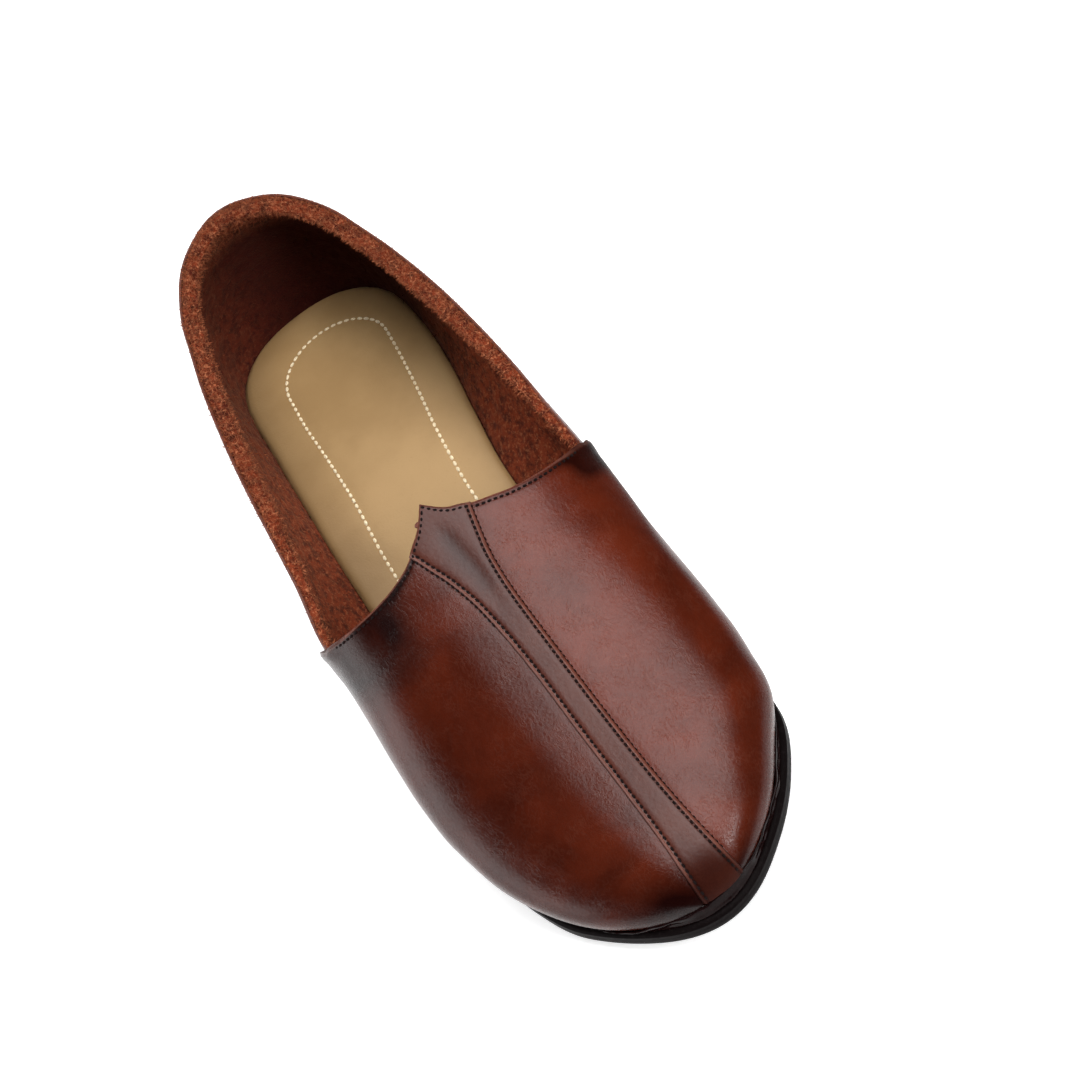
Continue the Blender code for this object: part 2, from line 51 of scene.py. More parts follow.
# %% [markdown]
# ## Sizes
#
# A last is described by a few lengths. Each table below gives one line of the last as
# shares of those lengths, from 0 at the heel to 1 at the toe, in the same way that a
# pattern maker notes a last at its stations.

# %% The last's lengths
LENGTH = 0.282
BALL_WIDTH = 0.0993
HEEL_HEIGHT = 0.012
SOLE_THICKNESS = 0.0060
TOE_SPRING = 0.0065
UPPER_WIDTH = 0.1036
CROWN_HEIGHT = 0.0590
GIRTH_RISE = 0.0200
RIM_WIDTH = 0.0980
RIM_HEIGHT = 0.0620
QUARTER_WALL = 0.0022
RIM_PADDING = 0.0038
VAMP_THICKNESS = 0.0020
VAMP_STEP = 0.0013
INSOLE_THICKNESS = 0.0030
STRIP_WIDTH = 0.0104
STRIP_THICKNESS = 0.0012
RAND_HEIGHT = 0.0038
EDGE_ROUND = 0.0008
HEEL_MARGIN = 0.0008
FORE_MARGIN = 0.0042
TOE_MARGIN = 0.0052
HEEL_SWELL = 0.0022
RIM_LEAN = 0.0004
CLEARANCE = 0.0003
SOLE_TOP_INSET = 0.0016
RAND_INSET = 0.0018
RAND_LIP = 0.0005
REAR = (LENGTH - max(0.0, HEEL_SWELL - HEEL_MARGIN)) / 2
print("sole length", LENGTH, "m")

# %% Places along the shoe and powers of its curves
HEEL_CAP, TOE_CAP = 0.115, 0.745
HEEL_BREAST, FLAT_START, FLAT_END = 0.27, 0.58, 0.70
NOSE_START, NOSE_END = 0.86, 0.9993
QUARTER_END, SIDE_SEAM, THROAT = 0.575, 0.455, 0.502
RAND_START, TIP = 0.56, 0.0001
HEEL_POWER, GIRTH_POWER, RIM_POWER = 2.4, 2.2, 2.0
SECTION_WIDTH_POWER, HEEL_LEAN_POWER, TOE_SPRING_POWER = 2.2, 1.6, 1.8
GIRTH_SHARE, CORNER_SHARE = 0.82, 0.66
THROAT_SKEW, STRIP_FOOT, PADDING_START = 0.006, 0.0043, 0.70
NORMAL_STEP, ACROSS_STEP, TANGENT_STEP = 0.002, 0.01, 0.0015
LATERAL, MEDIAL = -1, 1

# %% Tables of the last
# Columns: along, centre and half width as shares of BALL_WIDTH
SOLE = [
    (0.000, 0.032, 0.357),
    (0.100, 0.031, 0.357),
    (0.154, 0.030, 0.362),
    (0.225, 0.017, 0.360),
    (0.296, -0.002, 0.350),
    (0.367, -0.022, 0.347),
    (0.438, -0.030, 0.362),
    (0.509, -0.028, 0.400),
    (0.580, -0.018, 0.446),
    (0.651, -0.010, 0.483),
    (0.722, -0.002, 0.500),
    (0.793, 0.008, 0.498),
    (0.846, 0.018, 0.503),
    (0.900, 0.010, 0.492),
    (0.934, 0.010, 0.470),
    (0.970, 0.009, 0.435),
    (1.000, 0.012, 0.413),
]
# Columns: along, centre and half width as shares of UPPER_WIDTH, height as a share of GIRTH_RISE
GIRTH = [
    (0.00, 0.033, 0.340, 1.05),
    (0.10, 0.034, 0.347, 1.05),
    (0.20, 0.035, 0.376, 1.20),
    (0.30, 0.035, 0.410, 1.35),
    (0.40, 0.029, 0.447, 1.40),
    (0.50, 0.009, 0.490, 1.15),
    (0.55, 0.009, 0.490, 1.00),
    (0.60, 0.004, 0.491, 0.92),
    (0.65, 0.001, 0.497, 0.86),
    (0.70, 0.000, 0.502, 0.80),
    (0.75, 0.002, 0.500, 0.74),
    (0.80, 0.007, 0.496, 0.68),
    (0.85, 0.012, 0.501, 0.60),
    (0.90, 0.000, 0.482, 0.50),
    (0.94, -0.003, 0.474, 0.42),
    (0.97, -0.004, 0.458, 0.35),
    (1.00, 0.004, 0.446, 0.30),
]
# Columns: along, height as a share of CROWN_HEIGHT, ridge as a share of UPPER_WIDTH, power
CROWN = [
    (0.40, 1.140, 0.020, 3.0),
    (0.45, 1.080, 0.014, 3.0),
    (0.50, 1.000, 0.008, 3.0),
    (0.55, 0.930, 0.010, 2.9),
    (0.60, 0.850, 0.015, 2.7),
    (0.65, 0.765, 0.018, 2.6),
    (0.70, 0.680, 0.020, 2.5),
    (0.75, 0.600, 0.021, 2.4),
    (0.80, 0.520, 0.022, 2.3),
    (0.85, 0.445, 0.023, 2.2),
    (0.90, 0.375, 0.024, 2.2),
    (0.95, 0.320, 0.025, 2.2),
    (1.00, 0.290, 0.026, 2.2),
]
# Columns: along, centre and half width as shares of RIM_WIDTH, height as a share of
# RIM_HEIGHT, padding as a share of RIM_PADDING
RIM = [
    (0.000, 0.038, 0.224, 1.000, 1.00),
    (0.028, 0.038, 0.271, 0.985, 1.00),
    (0.072, 0.039, 0.297, 0.939, 1.00),
    (0.115, 0.040, 0.327, 0.898, 1.00),
    (0.180, 0.040, 0.378, 0.850, 0.98),
    (0.253, 0.040, 0.420, 0.794, 0.94),
    (0.325, 0.037, 0.450, 0.737, 0.84),
    (0.400, 0.031, 0.473, 0.688, 0.60),
    (0.450, 0.022, 0.485, 0.645, 0.38),
    (0.500, 0.014, 0.497, 0.592, 0.14),
    (0.540, 0.009, 0.500, 0.567, 0.02),
    (0.600, 0.005, 0.505, 0.540, 0.00),
]
# Columns: share of the way out from the peak, distance forward as a share of LENGTH
THROAT_EDGE = [
    (0.000, 0.0015),
    (0.060, 0.0135),
    (0.125, 0.0230),
    (0.190, 0.0287),
    (0.250, 0.0345),
    (0.330, 0.0395),
    (0.500, 0.0448),
    (0.700, 0.0425),
    (0.880, 0.0315),
    (1.000, 0.0155),
]
# Columns: along, centre as a share of UPPER_WIDTH, width as a share of STRIP_WIDTH
STRIP = [
    (0.50, 0.006, 2.90),
    (0.53, 0.006, 2.45),
    (0.56, 0.009, 1.95),
    (0.59, 0.014, 1.48),
    (0.63, 0.021, 1.14),
    (0.70, 0.028, 0.98),
    (0.80, 0.030, 0.98),
    (0.88, 0.035, 1.02),
    (0.94, 0.041, 1.14),
    (1.00, 0.046, 1.40),
]
# Columns: along, height on the outer and on the inner side as shares of RAND_HEIGHT
RAND = [
    (0.40, 0.20, 0.20),
    (0.60, 0.30, 0.32),
    (0.80, 0.42, 0.58),
    (0.90, 0.62, 0.96),
    (0.96, 0.90, 1.00),
    (1.00, 1.00, 1.00),
]
print("stations of the sole:", len(SOLE), "of the upper:", len(GIRTH))

# %% [markdown]
# ## Reading a table as a curve
#
# A spline through a few chosen stations gives a fair line. A cubic that takes its slope
# from the neighbouring stations never bulges between them, which a freehand spline can.


# %% Curves through the tables
def smooth(value, low, high):
    """0 below low, 1 above high and an even ramp between them."""
    share = min(1.0, max(0.0, (value - low) / (high - low)))
    return share * share * (3 - 2 * share)


def curve(table, column):
    """A function that reads one column of a table anywhere along it."""
    xs = [row[0] for row in table]
    ys = [row[column] for row in table]
    slopes = []
    for i in range(len(xs)):
        before, after = max(0, i - 1), min(len(xs) - 1, i + 1)
        slopes.append((ys[after] - ys[before]) / (xs[after] - xs[before]))

    def value(along):
        if along <= xs[0]:
            return ys[0]
        if along >= xs[-1]:
            return ys[-1]
        i = bisect_right(xs, along) - 1
        width = xs[i + 1] - xs[i]
        t = (along - xs[i]) / width
        start = (1 + 2 * t) * (1 - t) ** 2 * ys[i] + t * (1 - t) ** 2 * width * slopes[i]
        return start + t * t * (3 - 2 * t) * ys[i + 1] + t * t * (t - 1) * width * slopes[i + 1]

    return value


def curves(table):
    """One function for each column after the first."""
    return [curve(table, column) for column in range(1, len(table[0]))]


sole_centre, sole_half = curves(SOLE)
girth_centre, girth_half, girth_rise = curves(GIRTH)
crown_rise, ridge_share, crown_power = curves(CROWN)
rim_centre, rim_half, rim_rise, rim_padding = curves(RIM)
throat_forward = curve(THROAT_EDGE, 1)
strip_centre, strip_width = curves(STRIP)
rand_outer, rand_inner = curves(RAND)
print("half width at the ball:", round(BALL_WIDTH * sole_half(0.72) * 1000, 1), "mm")


# %% Lines of the last
def rounded_off(along, start):
    """1 as far as the start, then a quarter of an ellipse down to 0 at the toe."""
    return math.sqrt(max(0.0, 1 - (max(0.0, along - start) / (1 - start)) ** 2))


def ends(along, power=HEEL_POWER):
    """How full the outline is: rounded off at the heel and at the toe."""
    if along < HEEL_CAP:
        return (1 - (1 - along / HEEL_CAP) ** power) ** (1 / power)
    return rounded_off(along, TOE_CAP)


def sole_y(along):
    return REAR - LENGTH * along


def upper_y(along):
    return REAR - HEEL_MARGIN - (LENGTH - HEEL_MARGIN - TOE_MARGIN) * along


def underside(y):
    """Height of the sole's underside: raised on the heel, flat at the ball, sprung at the toe."""
    along = (REAR - y) / LENGTH
    heel = HEEL_HEIGHT * (1 - smooth(along, HEEL_BREAST, FLAT_START))
    toe = max(0.0, (along - FLAT_END) / (1 - FLAT_END))
    return heel + TOE_SPRING * toe**TOE_SPRING_POWER


def seat(y):
    """Height at which the upper and the sock rest on the sole."""
    return underside(y) + SOLE_THICKNESS + CLEARANCE


def feather(along):
    return seat(upper_y(along))


def margin(along):
    return HEEL_MARGIN + (FORE_MARGIN - HEEL_MARGIN) * smooth(along, 0.30, 0.55)


def sole_point(along, side):
    centre = BALL_WIDTH * sole_centre(along)
    half = BALL_WIDTH * sole_half(along) * ends(along)
    return Vector((centre + side * half, sole_y(along), 0.0))


def feather_point(along, side):
    """The upper's lower edge, where a maker lasts it to the sole."""
    centre = BALL_WIDTH * sole_centre(along)
    half = (BALL_WIDTH * sole_half(along) - margin(along)) * ends(along)
    return Vector((centre + side * half, upper_y(along), feather(along)))


def girth_point(along, side):
    """The widest line of the upper."""
    centre = UPPER_WIDTH * girth_centre(along)
    half = UPPER_WIDTH * girth_half(along) * ends(along, GIRTH_POWER)
    swell = HEEL_SWELL * (1 - smooth(along, 0.0, HEEL_CAP))
    rise = GIRTH_RISE * girth_rise(along) * (0.25 + 0.75 * rounded_off(along, NOSE_START))
    return Vector((centre + side * half, upper_y(along) + swell, feather(along) + rise))


def crown_height(along):
    girth = girth_point(along, LATERAL).z
    full = feather(along) + CROWN_HEIGHT * crown_rise(along)
    return girth + (full - girth) * rounded_off(along, NOSE_START)


print("top of the forefoot:", round(crown_height(THROAT) * 1000, 1), "mm")


# %% Surface of the forefoot
def section_angle(share):
    return (1 - share / GIRTH_SHARE) * math.pi / 2


def way_out(share):
    """How far a share of the section lies from the ridge, as a part of the whole way out."""
    return math.cos(section_angle(share)) ** (2 / SECTION_WIDTH_POWER)


CORNER_REACH = way_out(CORNER_SHARE)


def form(along, across):
    """A point of the last: across runs from -1 at the outer lower edge over the ridge to 1."""
    side = MEDIAL if across > 0 else LATERAL
    share = abs(across)
    foot, girth = feather_point(along, side), girth_point(along, side)
    if share > GIRTH_SHARE:
        turn = (1 - share) / (1 - GIRTH_SHARE)
        point = foot.lerp(girth, math.sin(math.pi / 2 * turn))
        point.z = foot.z + (girth.z - foot.z) * turn
        return point
    ridge = UPPER_WIDTH * ridge_share(along)
    up = math.sin(section_angle(share)) ** (2 / crown_power(along))
    x = ridge + (girth.x - ridge) * way_out(share)
    return Vector((x, girth.y, girth.z + (crown_height(along) - girth.z) * up))


def beside_ridge(along, x):
    """The side that x is on, its distance from the ridge and the whole way out on that side."""
    ridge = UPPER_WIDTH * ridge_share(along)
    side = MEDIAL if x > ridge else LATERAL
    return side, abs(x - ridge), abs(girth_point(along, side).x - ridge)


def across_at(along, x):
    side, distance, reach = beside_ridge(along, x)
    angle = math.acos(min(0.999, distance / reach) ** (SECTION_WIDTH_POWER / 2))
    return side * (1 - angle / (math.pi / 2)) * GIRTH_SHARE


def form_normal(along, across):
    low, high = max(0.30, along - NORMAL_STEP), min(0.9995, along + NORMAL_STEP)
    left, right = max(-1.0, across - ACROSS_STEP), min(1.0, across + ACROSS_STEP)
    down = form(high, across) - form(low, across)
    over = form(along, right) - form(along, left)
    normal = down.cross(over).normalized()
    normal.z *= 1 - smooth(abs(across), GIRTH_SHARE, 1.0)
    return normal.normalized()


def lifted(along, across, height):
    """A point over the forefoot, with the normal there."""
    normal = form_normal(along, across)
    return form(along, across) + normal * height, normal


print("normal on the ridge:", [round(c, 2) for c in form_normal(0.7, 0.0)])


# %% Lines of the quarter and the throat
def rim_point(along, side):
    """The top line of the quarter, which meets the vamp's own section under the throat."""
    half = rim_half(along) * ends(along, RIM_POWER)
    table_x = RIM_WIDTH * (rim_centre(along) + side * half)
    z = feather(along) + RIM_HEIGHT * rim_rise(along)
    blend = smooth(along, 0.42, 0.50)
    x = table_x
    if blend > 0:
        girth = girth_point(along, side)
        ridge = UPPER_WIDTH * ridge_share(along)
        rise = min(0.98, (z - girth.z) / (crown_height(along) - girth.z))
        out = (1 - rise ** crown_power(along)) ** (1 / SECTION_WIDTH_POWER)
        x = table_x + (ridge + (girth.x - ridge) * out - table_x) * blend
    lean = RIM_LEAN * (1 - smooth(along, 0.0, HEEL_CAP))
    return Vector((x, upper_y(along) - lean, z))


def quarter_point(along, side, up):
    """The quarter's face, from 0 at the sole to 1 at the top line."""
    foot, girth, rim = feather_point(along, side), girth_point(along, side), rim_point(along, side)
    z = foot.z + (rim.z - foot.z) * up
    if z < girth.z:
        turn = (z - foot.z) / (girth.z - foot.z)
        point = foot.lerp(girth, math.sin(math.pi / 2 * turn))
    else:
        turn = (z - girth.z) / (rim.z - girth.z)
        power = HEEL_LEAN_POWER + (crown_power(along) - HEEL_LEAN_POWER) * smooth(along, 0.25, 0.50)
        point = girth.lerp(rim, turn**power)
    point.z = z
    return point


def outward(point_at, along, side):
    """The level direction that leaves the shoe at a place of one of its lines."""
    if along < TIP:
        return Vector((0.0, 1.0, 0.0))
    if along > 1 - TIP:
        return Vector((0.0, -1.0, 0.0))
    step = min(TANGENT_STEP, along / 2, (1 - along) / 2)
    tangent = point_at(along + step, side) - point_at(along - step, side)
    return Vector((-tangent.y, tangent.x, 0.0)).normalized() * side


def throat_at(out, side):
    return THROAT + throat_forward(out) - THROAT_SKEW * side * smooth(out, 0.0, 0.4)


def vamp_start(across):
    """Where the vamp begins: at the throat, and below the corners at the side seam."""
    side = MEDIAL if across > 0 else LATERAL
    share = abs(across)
    if share > CORNER_SHARE:
        corner = throat_at(1.0, side)
        return corner + (SIDE_SEAM - corner) * (share - CORNER_SHARE) / (1 - CORNER_SHARE)
    return throat_at(min(1.0, way_out(share) / CORNER_REACH), side)


print("throat corner at", round(throat_at(1.0, LATERAL), 3))


# %% Lines of the centre strip
def strip_x(along):
    return UPPER_WIDTH * strip_centre(along)


def strip_half(along):
    return STRIP_WIDTH / 2 * strip_width(along)


print("strip at its narrowest:", round(2 * strip_half(0.75) * 1000, 1), "mm wide")

# %% [markdown]
# ## Camera, light and floor
#
# The camera comes first, so that every later look is judged from the right place. It looks
# down at the toe from 52 degrees and is rolled, because the photograph shows the shoe aslant.
# A long lens keeps the heel and the toe at nearly one scale.

# %% Camera
CAMERA_AIM = Vector((0.0229, -0.0084, 0.0300))
CAMERA_AZIMUTH = math.radians(0.2)
CAMERA_ELEVATION = math.radians(52.0)
CAMERA_ROLL = math.radians(-37.0)
CAMERA_DISTANCE = 0.950
SENSOR = 36.0
LENS = 103.87


def add_object(name, data):
    made = bpy.data.objects.new(name, data)
    bpy.context.scene.collection.objects.link(made)
    return made


def make_camera():
    level, down = math.cos(CAMERA_ELEVATION), math.sin(CAMERA_ELEVATION)
    view = Vector((math.sin(CAMERA_AZIMUTH) * level, math.cos(CAMERA_AZIMUTH) * level, -down))
    data = bpy.data.cameras.new("camera")
    data.sensor_width = SENSOR
    data.lens = LENS
    data.clip_start = 0.05
    camera = add_object("camera", data)
    turn = view.to_track_quat("-Z", "Y").to_matrix().to_4x4()
    roll = Matrix.Rotation(CAMERA_ROLL, 4, "Z")
    camera.matrix_world = Matrix.Translation(CAMERA_AIM - view * CAMERA_DISTANCE) @ turn @ roll
    bpy.context.scene.camera = camera
    return camera


camera = make_camera()
print("camera at", [round(c, 3) for c in camera.matrix_world.translation])

# %% [markdown]
# Polished leather shows the room more than its own colour. One wide softbox, above and
# towards the inner side, draws the broad pale sheen on the strip and the inner panel. A small
# lamp adds the glint at the toe, and a low card and the white floor draw the pale lines along
# the sides. Even light from everywhere would flatten the shoe.

# %% Lights
LIGHT_AIM = Vector((0.0, -0.01, 0.03))
# Name, place, size and power
LAMPS = [
    ("softbox", (0.300, -0.140, 1.260), (0.86, 0.90), 16.5),
    ("toe_glint", (0.510, -0.720, 0.710), (0.34, 0.34), 5.2),
    ("behind", (-0.05, 1.00, 1.00), (0.9, 0.6), 5.0),
    ("left_card", (-1.45, 0.10, 0.42), (2.0, 0.80), 20.0),
]
ROOM_COLOUR, ROOM_STRENGTH = (0.9, 0.95, 1.0, 1.0), 0.10


def area_light(name, place, size, power):
    data = bpy.data.lights.new(name, "AREA")
    data.shape = "RECTANGLE"
    data.size, data.size_y = size
    data.energy = power
    light = add_object(name, data)
    light.location = place
    light.rotation_euler = (LIGHT_AIM - Vector(place)).to_track_quat("-Z", "Y").to_euler()


for lamp in LAMPS:
    area_light(*lamp)
world = bpy.data.worlds.new("room")
world.use_nodes = True
background = world.node_tree.nodes["Background"]
background.inputs["Color"].default_value = ROOM_COLOUR
background.inputs["Strength"].default_value = ROOM_STRENGTH
bpy.context.scene.world = world
bpy.context.scene.view_settings.view_transform = "Standard"

# %% [markdown]
# ## Small helpers
#
# Every soft piece starts as a flat grid, the way leather starts as a flat hide, and is then
# laid over the last. The grid operator gives even faces and a UV map for nothing; a list of
# hand-made faces would give neither.


# %% Helpers for meshes
WELD = 1e-6
CUT_EDGE, SHARP_EDGE = math.radians(50), math.radians(40)


def laid_grid(rows, names=(), closed=False, capped=False):
    """A bmesh of rows of points. With names, each point comes with the marks of those names."""
    columns = len(rows[0])
    across = columns if closed else columns - 1
    data = bmesh.new()
    data.loops.layers.uv.new("UVMap")
    bmesh.ops.create_grid(data, x_segments=across, y_segments=len(rows) - 1, size=0.5, calc_uvs=True)
    layers = [data.verts.layers.float.new(name) for name in names]
    data.verts.ensure_lookup_table()
    for index, vert in enumerate(data.verts):
        row, column = divmod(index, across + 1)
        spot = rows[row][column % columns]
        vert.co = spot[0] if names else spot
        for place, layer in enumerate(layers, 1):
            vert[layer] = spot[place]
    bmesh.ops.remove_doubles(data, verts=data.verts, dist=WELD)
    if capped:
        bmesh.ops.holes_fill(data, edges=[e for e in data.edges if e.is_boundary], sides=0)
    bmesh.ops.recalc_face_normals(data, faces=data.faces)
    return data


def as_mesh(name, data):
    mesh = bpy.data.meshes.new(name)
    data.to_mesh(mesh)
    data.free()
    return mesh


def as_piece(name, data, materials, stands_for):
    """Turns the bmesh into an object that rides with the shoe and stands for a CAD node."""
    mesh = as_mesh(name, data)
    mesh.shade_smooth()
    for material in materials:
        mesh.materials.append(material)
    piece = add_object(name, mesh)
    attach(piece, "root")
    if stands_for:
        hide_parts(stands_for)
    print(name, "has", len(mesh.polygons), "faces")
    return piece


def turn_faces(data, point, away=True):
    """Turns an open sheet so that its faces look away from a point, or else towards it."""
    total = sum((f.calc_center_median() - point).dot(f.normal) * f.calc_area() for f in data.faces)
    if (total < 0) == away:
        bmesh.ops.reverse_faces(data, faces=data.faces)
    return data


def wall(piece, thickness, rim_material=0, bevel=0.0):
    """Gives a sheet its thickness, inwards, and rounds its cut edges."""
    solid = piece.modifiers.new("wall", "SOLIDIFY")
    solid.thickness = thickness
    solid.offset = -1.0
    solid.material_offset_rim = rim_material
    if bevel:
        edge = piece.modifiers.new("worn_edge", "BEVEL")
        edge.width = bevel
        edge.segments = 2
        edge.limit_method = "ANGLE"
        edge.angle_limit = CUT_EDGE


print("helpers ready")


# %% Helpers for materials
def plug_in(tree, made, values):
    """Sets a node's inputs, or links them where the value is another node's output."""
    for key, value in values.items():
        if isinstance(value, bpy.types.NodeSocket):
            tree.links.new(value, made.inputs[key])
        else:
            made.inputs[key].default_value = value
    return made


def node(tree, kind, values=None, **settings):
    """Adds a node with its settings and inputs, and returns it."""
    made = tree.nodes.new(kind)
    for key, value in settings.items():
        setattr(made, key, value)
    return plug_in(tree, made, values or {})


def new_material(name, roughness, specular=0.5):
    material = bpy.data.materials.new(name)
    material.use_nodes = True
    tree = material.node_tree
    shader = tree.nodes["Principled BSDF"]
    plug_in(tree, shader, {"Roughness": roughness, "Specular IOR Level": specular})
    return material, tree, shader


def blend_colours(tree, factor, first, second):
    colours = {0: factor, 6: first, 7: second}
    return node(tree, "ShaderNodeMix", colours, data_type="RGBA").outputs[2]


def grain(tree, scale, detail=4.0, roughness=0.6, distortion=0.0, stretch=(1.0, 1.0, 1.0)):
    """Noise on the piece's own coordinates; a scale of 1000 has features of 1 mm."""
    place = node(tree, "ShaderNodeTexCoord")
    mapped = node(tree, "ShaderNodeMapping", {"Vector": place.outputs["Object"], "Scale": stretch})
    values = {"Vector": mapped.outputs[0], "Scale": scale, "Detail": detail}
    values.update({"Roughness": roughness, "Distortion": distortion})
    return node(tree, "ShaderNodeTexNoise", values).outputs["Fac"]


def between(tree, value, low, high, to_low=0.0, to_high=1.0):
    values = {"Value": value, "From Min": low, "From Max": high, "To Min": to_low, "To Max": to_high}
    return node(tree, "ShaderNodeMapRange", values, interpolation_type="SMOOTHSTEP").outputs["Result"]


def mark(tree, name):
    return node(tree, "ShaderNodeAttribute", attribute_name=name).outputs["Fac"]


def add_bump(tree, shader, height, strength, distance):
    values = {"Strength": strength, "Distance": distance, "Height": height}
    bump = node(tree, "ShaderNodeBump", values)
    plug_in(tree, shader, {"Normal": bump.outputs["Normal"]})


def arithmetic(tree, kind, first, second):
    return node(tree, "ShaderNodeMath", {0: first, 1: second}, operation=kind).outputs[0]


def times(tree, first, second):
    return arithmetic(tree, "MULTIPLY", first, second)


def plus(tree, first, second):
    return arithmetic(tree, "ADD", first, second)


print("material helpers ready")

# %% [markdown]
# ## Leather
#
# The vamp is smooth corrected leather, rubbed with dark cream at its edges. The colour is
# mottled and thin creases run through the finish. Three marks painted on each piece change it:
# the first darkens it, both for the dark cream and as painted shade, the second wears it red and
# the third takes its gloss. A picture of leather would repeat; noise in the leather's own space doesn't.

# %% Leather material
RED_BROWN = (0.122, 0.0175, 0.0060, 1.0)
DEEP_BROWN = (0.082, 0.0120, 0.0046, 1.0)
BURNISH_AND_SHADE_BROWN = (0.0075, 0.0014, 0.0011, 1.0)
STREAK_BROWN = (0.180, 0.0560, 0.0340, 1.0)
RUBBED_BROWN = (0.165, 0.0560, 0.0380, 1.0)
EDGE_BROWN = (0.110, 0.0340, 0.0230, 1.0)
# Scales of the noises, in features per metre
DRIFT, PATCHES, WRINKLED, DENTS, SCUFFS, PEBBLES, PORES = 70.0, 40.0, 120.0, 260.0, 300.0, 900.0, 1500.0
# Size, turn and spread of the two sets of hairlines
LINE_SETS = ((880.0, 0.5, 0.32), (740.0, 1.45, 0.36))
LINE_WIDTH, STREAK_STRENGTH, WRINKLE_DEPTH = 0.045, 0.9, 1.8
DULL_SHINE, LEATHER_BUMP, LEATHER_DEPTH = 0.003, 0.38, 0.00013


def hairlines(tree, size, turn, spread):
    """Fine long lines: the level line of a stretched noise, turned by an angle."""
    place = node(tree, "ShaderNodeTexCoord").outputs["Object"]
    drift = node(tree, "ShaderNodeTexNoise", {"Vector": place, "Scale": DRIFT, "Detail": 1.0})
    bend_by = {0: drift.outputs["Color"], 1: (0.010, 0.010, 0.0)}
    bend = node(tree, "ShaderNodeVectorMath", bend_by, operation="MULTIPLY")
    moved = node(tree, "ShaderNodeVectorMath", {0: place, 1: bend.outputs[0]}, operation="ADD")
    turned = {"Vector": moved.outputs[0], "Rotation": (0.0, 0.0, turn), "Scale": (1.0, spread, 1.0)}
    mapped = node(tree, "ShaderNodeMapping", turned)
    values = {"Vector": mapped.outputs[0], "Scale": size, "Detail": 1.0, "Roughness": 0.5}
    level = node(tree, "ShaderNodeTexNoise", values).outputs["Fac"]
    line = arithmetic(tree, "ABSOLUTE", arithmetic(tree, "SUBTRACT", level, 0.5), 0.0)
    return between(tree, line, 0.0, LINE_WIDTH, 1.0, 0.0)


def wrinkles(tree, amount):
    """Two crossing sets of hairlines, stronger in some places than in others."""
    first, second = (hairlines(tree, *lines) for lines in LINE_SETS)
    both = arithmetic(tree, "MAXIMUM", first, second)
    where = between(tree, grain(tree, WRINKLED, detail=3.0), 0.40, 0.62, 0.35, 1.0)
    return times(tree, times(tree, both, where), amount)


def pebbles(tree, size):
    """The hide's fine cells."""
    place = node(tree, "ShaderNodeTexCoord").outputs["Object"]
    cells = node(tree, "ShaderNodeTexVoronoi", {"Vector": place, "Scale": size}, feature="SMOOTH_F1")
    return cells.outputs["Distance"]


def leather(name, warm, deep, roughness, shine=0.22, lined=0.30):
    """Mottled, wrinkled leather that answers to its piece's three marks."""
    material, tree, shader = new_material(name, roughness, shine)
    patches = grain(tree, PATCHES, detail=4.0, roughness=0.6, distortion=0.4)
    colour = blend_colours(tree, between(tree, patches, 0.34, 0.68), deep, warm)
    streaks = wrinkles(tree, lined)
    colour = blend_colours(tree, times(tree, streaks, STREAK_STRENGTH), colour, STREAK_BROWN)
    uneven = between(tree, patches, 0.2, 0.7, 1.05, 0.9)
    # The first mark darkens towards the dark colour: dark cream, and painted shade on the sides, in
    # creases and along edges.
    dark = arithmetic(tree, "MINIMUM", times(tree, mark(tree, "burnish_and_shade"), uneven), 1.0)
    colour = blend_colours(tree, dark, colour, BURNISH_AND_SHADE_BROWN)
    worn = times(tree, mark(tree, "rub"), between(tree, grain(tree, SCUFFS), 0.3, 0.6, 0.55, 1.0))
    colour = blend_colours(tree, worn, colour, RUBBED_BROWN)
    gloss = between(tree, mark(tree, "dull"), 0.0, 1.0, shine, DULL_SHINE)
    pores = grain(tree, PORES, detail=3.0)
    rough = between(tree, pores, 0.3, 0.7, roughness - 0.03, roughness + 0.05)
    plug_in(tree, shader, {"Base Color": colour, "Specular IOR Level": gloss, "Roughness": rough})
    fine = plus(tree, times(tree, pores, 0.25), pebbles(tree, PEBBLES))
    height = plus(tree, fine, times(tree, streaks, WRINKLE_DEPTH))
    height = plus(tree, height, times(tree, grain(tree, DENTS), 0.4))
    add_bump(tree, shader, height, LEATHER_BUMP, LEATHER_DEPTH)
    return material


STRIP_WARM, STRIP_DEEP = (0.074, 0.0165, 0.0085, 1.0), (0.054, 0.0120, 0.0068, 1.0)
QUARTER_WARM, QUARTER_DEEP = (0.105, 0.0200, 0.0090, 1.0), (0.070, 0.0120, 0.0055, 1.0)
vamp_leather = leather("vamp_leather", RED_BROWN, DEEP_BROWN, 0.27)
strip_leather = leather("strip_leather", STRIP_WARM, STRIP_DEEP, 0.36, shine=0.26, lined=0.08)
quarter_leather = leather("quarter_leather", QUARTER_WARM, QUARTER_DEEP, 0.36)
edge_leather = leather("edge_leather", RUBBED_BROWN, EDGE_BROWN, 0.55)
print("leathers:", vamp_leather.name, strip_leather.name, quarter_leather.name)

# %% [markdown]
# ## The vamp
#
# The vamp is one sheet drawn over the toe of the last. Its rear edge is the curved throat, and
# below the corners it is sewn over the quarter, so its side seams stand proud. The sheet is a
# grid laid on the last, a wall is added inwards, and the cut edges are slightly rounded.


# %% How the leather rises and sinks
CREASE_DEPTH, CREASE_WIDTH = 0.00040, 0.0028
PRESS_DEPTH, PRESS_WIDTH = 0.00015, 0.0009
FOLD_DEPTH, CORNER_FLARE, CORNER_LENGTH = 0.0007, 0.0009, 0.005
THROAT_INSET, THREAD_DEPTH, THREAD_WIDTH = 0.0016, 0.00016, 0.0005
SETTLING = 0.012
# Wave height and waves per metre: slow, and quick
WAVES = ((0.00014, 38.0), (0.00004, 95.0))


